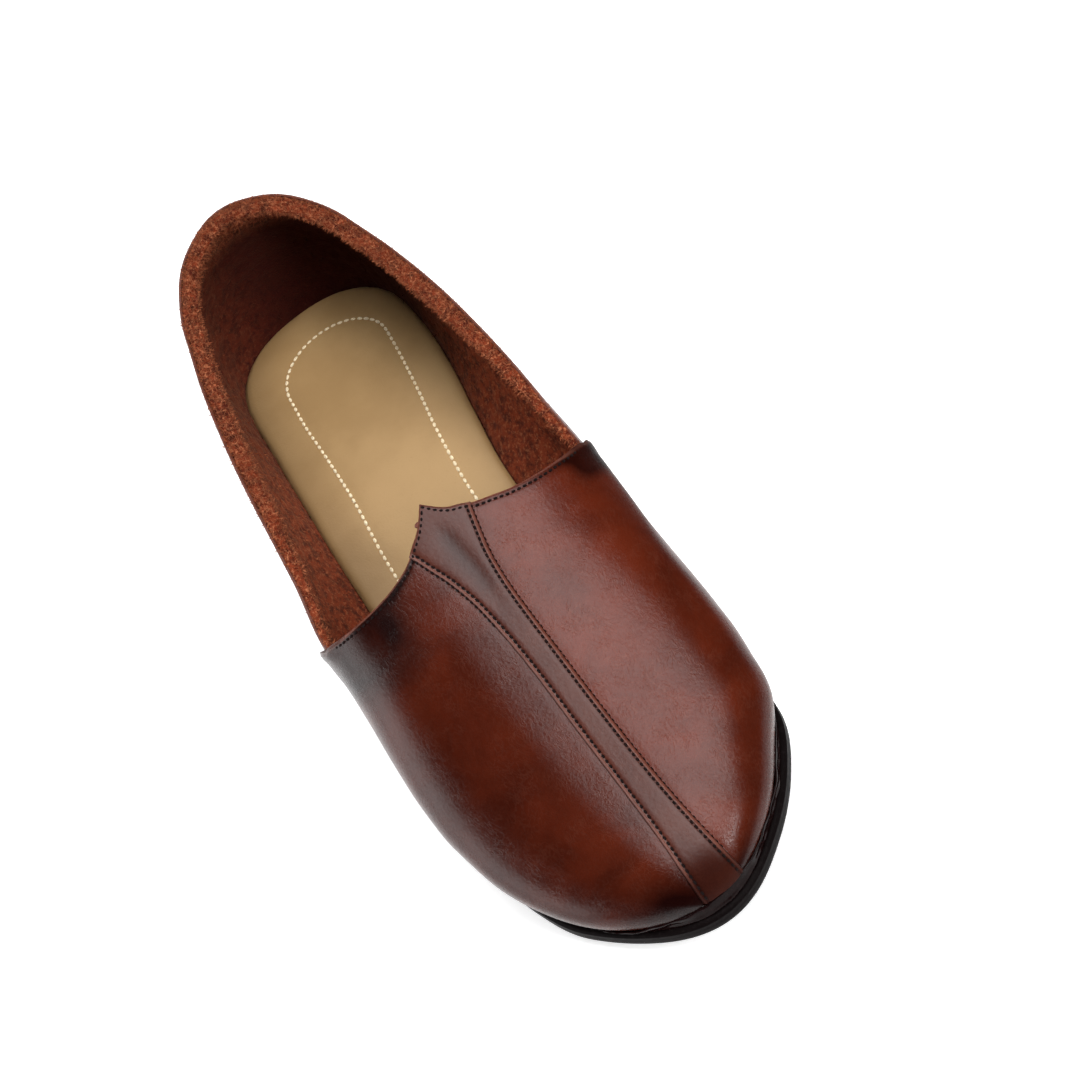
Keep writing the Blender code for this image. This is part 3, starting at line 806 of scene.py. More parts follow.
def strip_gap(along, x):
    """Distance outside the strip's edge, negative under the strip."""
    return abs(x - strip_x(along)) - strip_half(along)


def trough(distance, width):
    return math.exp(-((distance / width) ** 2))


def soft_crease(along, x):
    """The shallow hollow that starts at the throat's peak and runs down the ridge."""
    middle = 0.0008 + 0.0016 * smooth(along, 0.52, 0.60)
    reach = smooth(along, 0.520, 0.555) * (1 - smooth(along, 0.590, 0.670))
    return -CREASE_DEPTH * reach * trough(x - middle, CREASE_WIDTH)


def unevenness(point):
    """Slow waves of hand-lasted leather."""
    (slow, slow_scale), (quick, quick_scale) = WAVES
    shifted = point * quick_scale + Vector((3.1, 0.4, 7.7))
    return noise.noise(point * slow_scale) * slow + noise.noise(shifted) * quick


def vamp_relief(along, across, behind):
    """Height over the plain form; behind is the distance from the throat edge."""
    point = form(along, across)
    relief = unevenness(point) * smooth(behind, 0.0, SETTLING)
    relief += soft_crease(along, point.x)
    if abs(across) < 0.5:
        relief -= PRESS_DEPTH * trough(max(0.0, strip_gap(along, point.x)), PRESS_WIDTH)
    fold = 0.0008 + 0.0008 * smooth(abs(across), 0.35, 0.62)
    relief -= FOLD_DEPTH * (1 - smooth(behind, 0.0, fold))
    flare = CORNER_FLARE * smooth(abs(across), 0.50, 0.66)
    relief += flare * (1 - smooth(behind, 0.0, CORNER_LENGTH))
    return relief - THREAD_DEPTH * trough(behind - THROAT_INSET, THREAD_WIDTH)


print("crease depth:", round(soft_crease(0.56, 0.0016) * 1000, 2), "mm")


# %% Where the leather is burnished and rubbed
def vamp_burnish_and_shade(along, across, behind):
    """Darkness from 0 to 1: dark cream at the corners, the throat and the toe, cream and painted shade
    over the sides, and darker along the lower edge.
    """
    share = abs(across)
    if across < 0:
        corner = smooth(share, 0.12, 0.40) * (1 - 0.45 * smooth(share, 0.62, 0.85))
        dark = 0.75 * corner * (1 - smooth(behind, 0.002, 0.026))
        # Painted shade over the whole outer panel, which faces away from the light.
        dark += 0.44 + 0.26 * smooth(share, 0.08, 0.40)
    else:
        corner = smooth(share, 0.42, 0.60) * (1 - 0.3 * smooth(share, 0.80, 1.0))
        dark = 1.0 * corner * (1 - smooth(behind, 0.004, 0.014))
        # Dark cream and painted shade towards the inner side's outer edge.
        dark += 0.56 * smooth(share, 0.24, 0.62)
    dark += 0.45 * (1 - smooth(behind, 0.0010, 0.0045))
    # Darker along the lower edge, near the sole.
    dark += 0.35 * smooth(share, 0.88, 1.0)
    dark += 0.45 * smooth(along, 0.955, 0.998)
    return min(1.0, dark)


def vamp_dull(across, behind):
    """The inner side is dull near its outline, and the outer panel between its corner and its face."""
    if across < 0:
        share = -across
        panel = 0.88 * smooth(share, 0.07, 0.19) * (0.12 + 0.88 * smooth(behind, 0.008, 0.032))
        corner = 0.85 * smooth(share, 0.22, 0.40) * (1 - smooth(behind, 0.006, 0.022))
        return max(panel, corner) * (1 - smooth(share, 0.36, 0.53))
    corner = smooth(across, 0.46, 0.60) * (1 - smooth(behind, 0.008, 0.022))
    side = smooth(across, 0.33, 0.52) * (1 - 0.15 * smooth(behind, 0.060, 0.110))
    side *= 1 - 0.52 * smooth(across, 0.60, 0.72) * smooth(behind, 0.026, 0.050)
    return max(corner, side)


def vamp_rub(across, behind):
    """The thin line where the folded edge is rubbed back to red."""
    width = 0.0008 + 0.0011 * smooth(abs(across), 0.35, 0.62)
    worn = 0.85 - 0.60 * smooth(abs(across), 0.42, 0.60)
    return worn * (1 - smooth(behind, 0.4 * width, width))


LEAD = [0, 0.0002, 0.0004, 0.0006, 0.0008, 0.0010, 0.0013, 0.0016, 0.0019, 0.0023, 0.0028, 0.0035]
VAMP_BEVEL = 0.00045
# Marks: dark cream with painted shade, red rubbing, and dullness.
LEATHER_MARKS = ("burnish_and_shade", "rub", "dull")
INSIDE_TOE = Vector((0.0, 0.0, 0.02))


def rows_from(start, end, count):
    """Places from a cut edge to the toe: close together first, then even, then close again."""
    near = [start + step / LENGTH for step in LEAD]
    share = [math.sin(math.pi / 2 * i / count) ** 1.1 for i in range(1, count + 1)]
    return near + [near[-1] + (end - near[-1]) * s for s in share]


def build_vamp(columns=200, count=140):
    lines = []
    for j in range(columns + 1):
        across = 2 * j / columns - 1
        start = vamp_start(across)
        line = []
        for along in rows_from(start, NOSE_END, count):
            behind = (along - start) * LENGTH
            point, _ = lifted(along, across, VAMP_STEP + vamp_relief(along, across, behind))
            if j in (0, columns):
                point.z = seat(point.y)
            shade = vamp_burnish_and_shade(along, across, behind)
            line.append((point, shade, vamp_rub(across, behind), vamp_dull(across, behind)))
        lines.append(line)
    data = laid_grid(list(zip(*lines)), LEATHER_MARKS)
    data.verts.ensure_lookup_table()
    data.faces.new([v for v in data.verts if v.index >= len(data.verts) - columns - 1])
    return turn_faces(data, INSIDE_TOE)


vamp = as_piece("vamp", build_vamp(), [vamp_leather, edge_leather], "upper")
wall(vamp, VAMP_THICKNESS, rim_material=1, bevel=VAMP_BEVEL)

# %% [markdown]
# ## The centre strip
#
# A narrow strip is stitched over the ridge. Its edges are turned down, so each edge catches
# a red line of light outside the row of stitches, and the thread pulls a groove into it.


# %% Strip
STITCH_INSET, STITCH_DEPTH, STITCH_WIDTH = 0.0016, 0.00018, 0.00035
STRIP_EDGE = [0, 0.0001, 0.00025, 0.00045, 0.0007, 0.0010, 0.0012, 0.0014, 0.0016, 0.0018, 0.0020, 0.0023]
STRIP_INNER, STRIP_CURL, STRIP_PUFF = 0.0028, 0.0013, 0.00012
STRIP_SHARES = (0.0, 0.16, 0.32, 0.48, 0.62, 0.75, 0.88)
STRIP_LIFT, END_LIFT, STRIP_SKIN = 0.00006, 0.0003, 0.0003


def strip_line(along, column):
    """x of a column of the strip: its side, its share of the flat part, and metres beyond that."""
    side, share, beyond = column
    return strip_x(along) + side * ((strip_half(along) - STRIP_INNER) * share + beyond)


def line_start(column):
    """Where a column meets the throat's edge, found by stepping closer."""
    along = THROAT
    for _ in range(8):
        side, distance, reach = beside_ridge(along, strip_line(along, column))
        along = throat_at(distance / (reach * CORNER_REACH), side)
    return along


def line_end(column):
    """Where a column meets the sole at the toe, found by halving."""
    near, far = NOSE_START, NOSE_END
    for _ in range(16):
        along = (near + far) / 2
        x = strip_line(along, column)
        _, distance, reach = beside_ridge(along, x)
        on_toe = distance < 0.97 * reach
        if on_toe and form(along, across_at(along, x)).z > feather(along) + STRIP_FOOT:
            near = along
        else:
            far = along
    return near


def strip_profile(distance):
    """Height of the strip's face at a distance in from its edge."""
    edge = STRIP_THICKNESS * (1 - (1 - min(1.0, distance / STRIP_CURL)) ** 2.2)
    puff = STRIP_PUFF * smooth(distance, STITCH_INSET, STITCH_INSET + 0.0014)
    return edge + puff - STITCH_DEPTH * trough(distance - STITCH_INSET, STITCH_WIDTH)


def strip_marks(along, x, distance, behind):
    """Darkness, rub and dullness at a distance from the strip's edge and from its end; the darkness is
    dark cream at the toe end and painted shade in the crease, at the edge and along the stitches.
    """
    dark = 0.60 * smooth(along, 0.955, 0.990)
    # Painted shade in the crease that runs down from the throat.
    dark -= 0.50 * soft_crease(along, x) / CREASE_DEPTH
    # Painted contact shadow along the strip's edge.
    dark += 0.6 * (1 - smooth(distance, 0.0, 0.0004))
    # Painted shade in the groove under the stitches.
    dark += 0.25 * trough(distance - STITCH_INSET, 0.0005)
    band = smooth(distance, 0.0001, 0.0006) * (1 - smooth(distance, 0.0010, 0.0014))
    band = max(band, 0.8 * (1 - smooth(behind, 0.0003, 0.0010)))
    rub = 0.75 * band * (1 - smooth(along, 0.965, 0.995))
    return min(1.0, dark), rub, 0.80 * smooth(along, 0.955, 0.985)


def build_strip(count=230):
    right = [(MEDIAL, share, 0.0) for share in STRIP_SHARES]
    right += [(MEDIAL, 1.0, STRIP_INNER - edge) for edge in STRIP_EDGE[::-1]]
    columns = [(LATERAL, share, beyond) for _, share, beyond in right[:0:-1]] + right
    lines = []
    for column in columns:
        start, end = line_start(column), line_end(column)
        line = []
        for along in rows_from(start, end, count):
            x = strip_line(along, column)
            distance = -strip_gap(along, x)
            behind = (along - start) * LENGTH
            face = min(strip_profile(distance), strip_profile(behind) + END_LIFT)
            lift = VAMP_STEP + STRIP_LIFT + face + soft_crease(along, x)
            point, _ = lifted(along, across_at(along, x), lift)
            line.append((point, *strip_marks(along, x, distance, behind)))
        lines.append(line)
    return turn_faces(laid_grid(list(zip(*lines)), LEATHER_MARKS), INSIDE_TOE)


strip = as_piece("strip", build_strip(), [strip_leather], "center_strip")
wall(strip, STRIP_SKIN)

# %% [markdown]
# The turned-in end of the strip leaves a small lump under the throat's edge beside the peak.
# It is one flattened ball, so it costs nothing, and it tells the eye that the edge is folded.


# %% Lump
LUMP_COLUMN = (LATERAL, 0.34, 0.0)
LUMP_RADII, LUMP_SINK, LUMP_INSET = (0.0014, 0.0010, 0.0007), 0.0002, 0.0001


def build_lump():
    along = line_start(LUMP_COLUMN) + LUMP_INSET / LENGTH
    across = across_at(along, strip_line(along, LUMP_COLUMN))
    data = bmesh.new()
    point, _ = lifted(along, across, VAMP_STEP - LUMP_SINK)
    place = Matrix.Translation(point) @ Matrix.Diagonal((*LUMP_RADII, 1.0))
    bmesh.ops.create_uvsphere(data, u_segments=16, v_segments=10, radius=1.0, matrix=place)
    return data


as_piece("lump", build_lump(), [edge_leather], None)

# %% [markdown]
# ## The quarter's leather
#
# Round the heel the outside is a thin sheet of the same leather. It is laid from the sole up
# to the top line, where its raw edge shows as a thin dark line beside the suede.

# %% Quarter leather
LEATHER_THICKNESS, QUARTER_BEVEL = 0.0009, 0.0003
INSIDE_HEEL = Vector((0.0, 0.05, 0.03))


def round_the_heel(reach, count):
    """Places from the outer front end round the heel to the inner one, close at the heel."""
    places = []
    for i in range(count + 1):
        t = abs(2 * i / count - 1)
        along = reach * (0.35 * t + 0.65 * t * t)
        places.append((along, LATERAL if i < count / 2 else MEDIAL))
    return places


def build_quarter_leather(columns=300, rows=44):
    sheet = []
    for j in range(rows + 1):
        up = j / rows
        settled = smooth(up, 0.0, 0.1) * (1 - smooth(up, 0.93, 1.0))
        # Darker towards the sole, and rubbed red at the top edge.
        burnish_and_shade, rub = 0.15 + 0.6 * (1 - smooth(up, 0.0, 0.14)), 0.6 * smooth(up, 0.975, 1.0)
        row = []
        for along, side in round_the_heel(QUARTER_END, columns):
            point = quarter_point(along, side, up)
            wave = unevenness(point * 1.1) * 1.3 * settled
            point += outward(girth_point, along, side) * wave
            if j == 0:
                point.z = seat(point.y)
            row.append((point, burnish_and_shade, rub))
        sheet.append(row)
    return turn_faces(laid_grid(sheet, LEATHER_MARKS[:2]), INSIDE_HEEL)


quarter = as_piece("quarter", build_quarter_leather(), [quarter_leather], "upper")
wall(quarter, LEATHER_THICKNESS, bevel=QUARTER_BEVEL)

# %% [markdown]
# ## Suede lining and the padded top line
#
# The flesh side of the hide is turned inwards and rolled over a soft padding. Suede has no
# gloss: short fibres scatter the light, so it needs a sheen, mottled colour and real nap.

# %% Suede material
SUEDE_TIPS_AND_HIGHLIGHT = (0.460, 0.155, 0.070, 1.0)
SUEDE_MID = (0.190, 0.031, 0.0100, 1.0)
SUEDE_DARK = (0.060, 0.0080, 0.0035, 1.0)
SUEDE_SHADE = (0.030, 0.0014, 0.0010, 1.0)
SUEDE_SHEEN = (0.9, 0.45, 0.25, 1.0)
CLUMPS, TIPS = 300.0, 800.0


def suede(name, lift=0.0):
    material, tree, shader = new_material(name, 0.95, 0.15)
    clumps = grain(tree, CLUMPS, detail=5.0, roughness=0.75)
    base = blend_colours(tree, between(tree, clumps, 0.38, 0.58), SUEDE_DARK, SUEDE_MID)
    tips = grain(tree, TIPS, detail=3.0, roughness=0.8)
    lit = plus(tree, between(tree, tips, 0.50, 0.68), lift)
    # Pale fibre tips, raised where the nap mark is high: painted light on the roll's top.
    base = blend_colours(tree, times(tree, lit, mark(tree, "nap")), base, SUEDE_TIPS_AND_HIGHLIGHT)
    # Painted shade on the heel's inner wall.
    base = blend_colours(tree, mark(tree, "worn"), base, SUEDE_SHADE)
    sheen = {"Sheen Weight": 0.10, "Sheen Roughness": 0.5, "Sheen Tint": SUEDE_SHEEN}
    plug_in(tree, shader, {"Base Color": base, **sheen})
    add_bump(tree, shader, plus(tree, clumps, tips), 0.8, 0.0005)
    return material


lining_suede = suede("lining_suede")
# The blades get lighter tips everywhere: painted highlight on the nap.
highlit_nap_suede = suede("highlit_nap_suede", lift=0.30)
print("suede colours set")

# %% Lining sheet
ROLL_ROWS, INNER_ROWS = 12, 56
EDGE_SKIN, LINING_SKIN = 0.00045, 0.0004
FOOT_FILL = CLEARANCE + 0.0002
ABOVE_SOCK = Vector((0.0, 0.05, 0.05))
# Waves of the nap: height, waves per metre and shift
NAP_WAVES = (
    (0.00022, 900.0, Vector((0.0, 0.0, 0.0))),
    (0.00042, 330.0, Vector((9.1, 2.2, 4.0))),
    (0.00026, 90.0, Vector((0.0, 0.0, 0.0))),
)


def lining_point(along, side, row):
    """From the leather's edge over the padded roll and down the inner wall."""
    direction = outward(girth_point, along, side)
    padding = RIM_PADDING * rim_padding(along)
    thick = QUARTER_WALL + padding
    if row <= ROLL_ROWS:
        turn = row / ROLL_ROWS
        inwards = EDGE_SKIN + (thick - EDGE_SKIN) * turn
        point = quarter_point(along, side, 1.0) - direction * inwards
        point.z -= (EDGE_ROUND + 0.12 * padding) * (1 - math.sin(math.pi * turn) ** 0.7)
        return point, direction * (1 - 2 * turn) + Vector((0, 0, 0.8))
    down = (row - ROLL_ROWS) / INNER_ROWS
    up = 0.975 * (1 - down)
    depth = QUARTER_WALL + padding * smooth(up, PADDING_START, 1.0)
    depth += FOOT_FILL * (1 - smooth(up, 0.10, 0.55))
    point = quarter_point(along, side, up) - direction * depth
    if row == ROLL_ROWS + INNER_ROWS:
        point.z = seat(point.y)
    return point, -direction


def nap_height(point):
    return sum(noise.noise(point * scale + shift) * height for height, scale, shift in NAP_WAVES)


def lining_marks(along, x, down):
    """How much nap shows, which also paints the roll's top lighter as painted light, and the painted
    shade on the heel's inner wall, darkest towards the inner side.
    """
    # Lighter on the roll's top than down the wall: painted light.
    nap = (1.0 - 0.55 * smooth(down, 0.0, 0.3)) * (1.0 - 0.15 * smooth(along, 0.30, 0.50))
    # Painted shade on the heel's inner wall, stronger towards the inner side.
    heel = (1 - smooth(along, 0.10, 0.30)) * smooth(down, 0.03, 0.30)
    return nap, (0.50 + 0.45 * smooth(x, -0.030, 0.005)) * heel


def build_lining(columns=380):
    sheet = []
    for j in range(ROLL_ROWS + INNER_ROWS + 1):
        strength = 1.0 if 0 < j < ROLL_ROWS + INNER_ROWS else 0.0
        strength += smooth(j, 5, 12) * (1 - smooth(j, 14, 22))
        down = max(0.0, (j - ROLL_ROWS) / INNER_ROWS)
        row = []
        for along, side in round_the_heel(QUARTER_END, columns):
            point, normal = lining_point(along, side, j)
            point += normal.normalized() * nap_height(point) * strength
            row.append((point, *lining_marks(along, point.x, down)))
        sheet.append(row)
    # The nap mark also carries painted light on the roll; the worn mark is painted shade in the heel.
    return turn_faces(laid_grid(sheet, ("nap", "worn")), ABOVE_SOCK, away=False)


lining = as_piece("lining", build_lining(), [lining_suede], "upper")
wall(lining, LINING_SKIN)

# %% [markdown]
# The nap itself is thousands of short fibres. Geometry Nodes scatters one small blade over the
# roll and the upper wall, which is far quicker than making each blade by hand, and the result
# is then kept as a plain mesh.


# %% Nap
BLADE_WIDTH, BLADE_BEND, BLADE_LENGTH = 0.00030, 0.00055, 0.00125
# Blades per square metre where the nap is full, and how fast they thin out where it isn't
NAP_DENSITY, NAP_FALL = 4.0e6, 6.0
LEAN, SPIN = 0.9, 3.14
SHORTEST, LONGEST = 0.6, 1.35


def make_blade():
    data = bmesh.new()
    bmesh.ops.create_grid(data, x_segments=1, y_segments=3, size=0.5)
    for vert in data.verts:
        up = vert.co.y + 0.5
        width = vert.co.x * BLADE_WIDTH * (1 - 0.7 * up)
        vert.co = Vector((width, BLADE_BEND * up * up, BLADE_LENGTH * up))
    return add_object("blade", as_mesh("blade", data))


def nap_tree(blade):
    """Points scattered by the nap mark, with a leaning blade on each, made real."""
    tree = bpy.data.node_groups.new("nap", "GeometryNodeTree")
    for way in ("INPUT", "OUTPUT"):
        tree.interface.new_socket("Geometry", in_out=way, socket_type="NodeSocketGeometry")
    source = node(tree, "NodeGroupInput").outputs[0]
    wanted = node(tree, "GeometryNodeInputNamedAttribute", {"Name": "nap"}, data_type="FLOAT")
    density = times(tree, arithmetic(tree, "POWER", wanted.outputs[0], NAP_FALL), NAP_DENSITY)
    spread = {"Mesh": source, "Density": density, "Seed": 7}
    scatter = node(tree, "GeometryNodeDistributePointsOnFaces", spread)
    shape = node(tree, "GeometryNodeObjectInfo", {"Object": blade})
    angles = {"Min": (-LEAN, -LEAN, -SPIN), "Max": (LEAN, LEAN, SPIN), "Seed": 3}
    lean = node(tree, "FunctionNodeRandomValue", angles, data_type="FLOAT_VECTOR")
    turn = {"Rotation": scatter.outputs["Rotation"], "Rotate By": lean.outputs[0]}
    turned = node(tree, "FunctionNodeRotateRotation", turn, rotation_space="LOCAL")
    sizes = {2: SHORTEST, 3: LONGEST, "Seed": 5}
    size = node(tree, "FunctionNodeRandomValue", sizes, data_type="FLOAT")
    blades = {"Points": scatter.outputs["Points"], "Instance": shape.outputs["Geometry"]}
    blades.update({"Rotation": turned.outputs[0], "Scale": size.outputs[1]})
    placed = node(tree, "GeometryNodeInstanceOnPoints", blades)
    real = node(tree, "GeometryNodeRealizeInstances", {"Geometry": placed.outputs[0]})
    node(tree, "NodeGroupOutput", {"Geometry": real.outputs[0]})
    return tree


def build_nap(surface):
    blade = make_blade()
    carrier = add_object("nap_carrier", surface.data.copy())
    carrier.modifiers.new("nap", "NODES").node_group = nap_tree(blade)
    graph = bpy.context.evaluated_depsgraph_get()
    mesh = bpy.data.meshes.new_from_object(carrier.evaluated_get(graph))
    bpy.data.objects.remove(carrier)
    bpy.data.objects.remove(blade)
    print("nap blades:", len(mesh.polygons) // 3)
    data = bmesh.new()
    data.from_mesh(mesh)
    layer = data.verts.layers.float.get("nap") or data.verts.layers.float.new("nap")
    for vert in data.verts:
        vert[layer] = 1.0
    bpy.data.meshes.remove(mesh)
    return data


as_piece("nap", build_nap(lining), [highlit_nap_suede], "upper")

# %% [markdown]
# ## The sock
#
# The flat sock is a tan sheet cut a little smaller than the inside. Its edge is slightly
# rounded and a U of cream thread holds it; a shallow groove runs under the thread.

# %% Sock material
TAN_LIGHT = (0.405, 0.255, 0.110, 1.0)
TAN_MID = (0.340, 0.208, 0.085, 1.0)
TAN_PORE = (0.30, 0.17, 0.07, 1.0)
TAN_SHADE = (0.110, 0.060, 0.022, 1.0)
CLOUDS, TAN_PORES, TAN_DENTS = 26.0, 1400.0, 320.0


def sock_material():
    material, tree, shader = new_material("sock_leather", 0.55, 0.35)
    cloudy = grain(tree, CLOUDS, detail=4.0, roughness=0.6)
    colour = blend_colours(tree, between(tree, cloudy, 0.35, 0.65), TAN_MID, TAN_LIGHT)
    pores = grain(tree, TAN_PORES, detail=3.0)
    colour = blend_colours(tree, between(tree, pores, 0.62, 0.75, 0.0, 0.35), colour, TAN_PORE)
    # Painted shade at the sock's edge and along its outer side.
    colour = blend_colours(tree, mark(tree, "worn"), colour, TAN_SHADE)
    plug_in(tree, shader, {"Base Color": colour})
    add_bump(tree, shader, plus(tree, pores, grain(tree, TAN_DENTS)), 0.6, 0.00014)
    return material


# Seam of the sock. Columns: along, centre and half width as shares of BALL_WIDTH
SOCK_SEAM = [
    (0.055, 0.052, 0.200),
    (0.110, 0.050, 0.198),
    (0.160, 0.038, 0.197),
    (0.220, 0.025, 0.187),
    (0.300, 0.003, 0.174),
    (0.390, -0.024, 0.175),
    (0.500, -0.030, 0.185),
    (0.600, -0.028, 0.200),
]
SEAM_START, SEAM_TURN = SOCK_SEAM[0][0], 0.060
seam_centre, seam_half = curves(SOCK_SEAM)


def sock_seam(along, side):
    """A point of the seam, which turns in a half ellipse at the heel."""
    bend = min(1.0, (along - SEAM_START) / SEAM_TURN)
    half = seam_half(along) * math.sqrt(max(0.0, 1 - (1 - bend) ** 2))
    x = BALL_WIDTH * (seam_centre(along) + side * half)
    y = upper_y(along)
    return Vector((x, y, seat(y) + INSOLE_THICKNESS))


print("sock seam starts at", [round(c, 3) for c in sock_seam(SEAM_START, LATERAL)])


# %% Sock
SOCK_ROUND, SOCK_COLUMNS, SOCK_UNDER = 0.0012, 34, 0.6
SEAM_DEPTH, SEAM_GROOVE = 0.00025, 0.0006
EDGE_SHADE, OUTER_SHADE = 0.0020, 0.022


def sock_spot(along, left, right, share):
    """A point of the sock's face with its painted shade: darker at the edge and along the outer side,
    where the wall shades it.
    """
    point = left.lerp(right, share)
    edge = min((point - left).length, (right - point).length)
    rise = INSOLE_THICKNESS - EDGE_ROUND * (1 - min(1.0, edge / SOCK_ROUND)) ** 2
    if along > SEAM_START:
        for side in (LATERAL, MEDIAL):
            gap = abs(point.x - sock_seam(along, side).x)
            rise -= SEAM_DEPTH * trough(gap, SEAM_GROOVE)
    point.z = seat(point.y) + rise
    outer = 1 - smooth((point - left).length, 0.0, OUTER_SHADE)
    return point, min(1.0, 0.30 * trough(edge, EDGE_SHADE) + 0.45 * outer)


def sock_edge(along, side):
    inset = QUARTER_WALL + CLEARANCE
    return feather_point(along, side) - outward(feather_point, along, side) * inset


def build_sock(rows=170):
    shares = [i / SOCK_COLUMNS for i in range(SOCK_COLUMNS + 1)]
    sheet = []
    for i in range(rows + 1):
        along = 0.5 - 0.5 * math.cos(math.pi * i / rows)
        left, right = sock_edge(along, LATERAL), sock_edge(along, MEDIAL)
        ring = [sock_spot(along, left, right, share) for share in shares]
        for share in shares[::-1]:
            point = left.lerp(right, share)
            point.z = seat(point.y)
            ring.append((point, SOCK_UNDER))
        sheet.append(ring)
    return laid_grid(sheet, ("worn",), closed=True)


as_piece("sock", build_sock(), [sock_material()], "insole")

# %% [markdown]
# ## Thread
#
# A lockstitch shows as a row of short dashes, each pulled into its hole at both ends. One row
# is a line of flattened beads set at an even pitch along a path on the leather. They are
# joined in one mesh, because hundreds of loose objects would be slow and hard to move.

# %% Thread materials
DARK_THREAD = (0.0060, 0.0025, 0.0022, 1.0)
CREAM_THREAD = (0.660, 0.560, 0.380, 1.0)
TWIST = 2600.0


def thread(name, colour, roughness):
    material, tree, shader = new_material(name, roughness, 0.08)
    twist = grain(tree, TWIST, detail=2.0)
    pale = tuple(min(1.0, c * 1.5) for c in colour[:3]) + (1.0,)
    mottled = blend_colours(tree, between(tree, twist, 0.4, 0.6), colour, pale)
    plug_in(tree, shader, {"Base Color": mottled})
    add_bump(tree, shader, twist, 0.5, 0.0001)
    return material


dark_thread = thread("dark_thread", DARK_THREAD, 0.75)
cream_thread = thread("cream_thread", CREAM_THREAD, 0.7)
print("threads:", dark_thread.name, cream_thread.name)


# %% Stitch rows
def resample(path, pitch):
    """Evenly spaced (point, tangent, normal) along a list of (point, normal)."""
    total = [0.0]
    for (a, _), (b, _) in zip(path, path[1:]):
        total.append(total[-1] + (b - a).length)
    count = max(1, round(total[-1] / pitch))
    spots = []
    for k in range(count):
        want = (k + 0.5) * total[-1] / count
        i = min(len(path) - 2, bisect_right(total, want) - 1)
        share = (want - total[i]) / max(1e-9, total[i + 1] - total[i])
        point = path[i][0].lerp(path[i + 1][0], share)
        normal = path[i][1].lerp(path[i + 1][1], share).normalized()
        spots.append((point, (path[i + 1][0] - path[i][0]).normalized(), normal))
    return spots


def add_stitches(data, path, pitch, length, width, height, slant, seed):
    """Adds a flattened bead for each stitch and returns how many there are."""
    chance = random.Random(seed)
    spots = resample(path, pitch)
    for point, tangent, normal in spots:
        side = normal.cross(tangent).normalized()
        aim = (tangent + side * (slant + chance.uniform(-0.05, 0.05))).normalized()
        side = normal.cross(aim).normalized()
        turn = Matrix((aim, side, aim.cross(side))).transposed().to_4x4()
        scale = Matrix.Diagonal((length / 2 * chance.uniform(0.92, 1.06), width / 2, height / 2, 1.0))
        place = Matrix.Translation(point + normal * height * 0.12) @ turn @ scale
        bmesh.ops.create_uvsphere(data, u_segments=8, v_segments=6, radius=1.0, matrix=place)
    return len(spots)


# Pitch, length, width, height and slant of a stitch
DARK_STITCH = (0.00190, 0.00142, 0.00088, 0.00050, 0.10)
THIN_STITCH = (0.00190, 0.00142 * 0.8, 0.00045, 0.00040, 0.10)
CREAM_STITCH = (0.00245, 0.0021, 0.00115, 0.0007, 0.0)
# How far a row stays from its ends, and how deep a thread sinks into the leather
ROW_GAP, ROW_STOP, CORNER_GAP = 0.0018, 0.001, 0.004
STRIP_SINK, THROAT_SINK = 0.00002, 0.00008


def strip_row(side, inset, lift, reach=1.0, count=160):
    """A row beside the strip's edge, over a share of its length."""
    column = (side, 1.0, STRIP_INNER - inset)
    start, end = line_start(column) + ROW_GAP / LENGTH, line_end(column) - ROW_STOP
    path = []
    for i in range(count + 1):
        along = start + (end - start) * reach * i / count
        x = strip_line(along, column)
        path.append(lifted(along, across_at(along, x), lift + soft_crease(along, x)))
    return path


def throat_row(count=260):
    """Just inside the throat edge, from one corner over the peak to the other."""
    path = []
    for i in range(count + 1):
        across = (2 * i / count - 1) * (CORNER_SHARE - CORNER_GAP)
        along = vamp_start(across) + THROAT_INSET / LENGTH
        on_strip = 1 - smooth(strip_gap(along, form(along, across).x), -0.0010, 0.0)
        lift = VAMP_STEP - THROAT_SINK + on_strip * (STRIP_THICKNESS + STRIP_PUFF)
        path.append(lifted(along, across, lift))
    return path


def build_dark_stitches():
    data = bmesh.new()
    on_strip = VAMP_STEP + STRIP_THICKNESS - STRIP_SINK
    # Each row's path, stitch and seed
    rows = [
        (strip_row(LATERAL, STITCH_INSET, on_strip), DARK_STITCH, 2),
        (strip_row(MEDIAL, STITCH_INSET, on_strip), DARK_STITCH, 4),
        (strip_row(LATERAL, 0.00015, VAMP_STEP + 0.0004, reach=0.24), DARK_STITCH, 12),
        (strip_row(MEDIAL, 0.0, VAMP_STEP + 0.0002, reach=0.97), THIN_STITCH, 13),
        (throat_row(), DARK_STITCH, 9),
    ]
    total = 0
    for path, stitch, seed in rows:
        total += add_stitches(data, path, *stitch, seed)
    print("dark stitches:", total)
    return data


as_piece("stitches", build_dark_stitches(), [dark_thread], None)


# %% Stitches of the sock
SEAM_END, SEAM_SINK = 0.60, Vector((0, 0, 0.0002))


def build_sock_stitches(steps=120):
    path = []
    places = [SEAM_START + (SEAM_END - SEAM_START) * (i / steps) ** 2 for i in range(steps + 1)]
    for side, order in ((LATERAL, reversed), (MEDIAL, iter)):
        path += [(sock_seam(along, side) - SEAM_SINK, Vector((0, 0, 1))) for along in order(places)]
    data = bmesh.new()
    total = add_stitches(data, path, *CREAM_STITCH, 4)
    print("cream stitches:", total)
    return data


as_piece("sock_stitches", build_sock_stitches(), [cream_thread], None)

# %% [markdown]
# ## Sole, heel and rand
#
# The sole is moulded: a rounded lower edge, a groove half way up and a small step under the
# upper. A ring of points round each cross section is laid from heel to toe. The glossy rand
# that covers the joint at the toe is pressed on by hand, so its surface is lumpy.


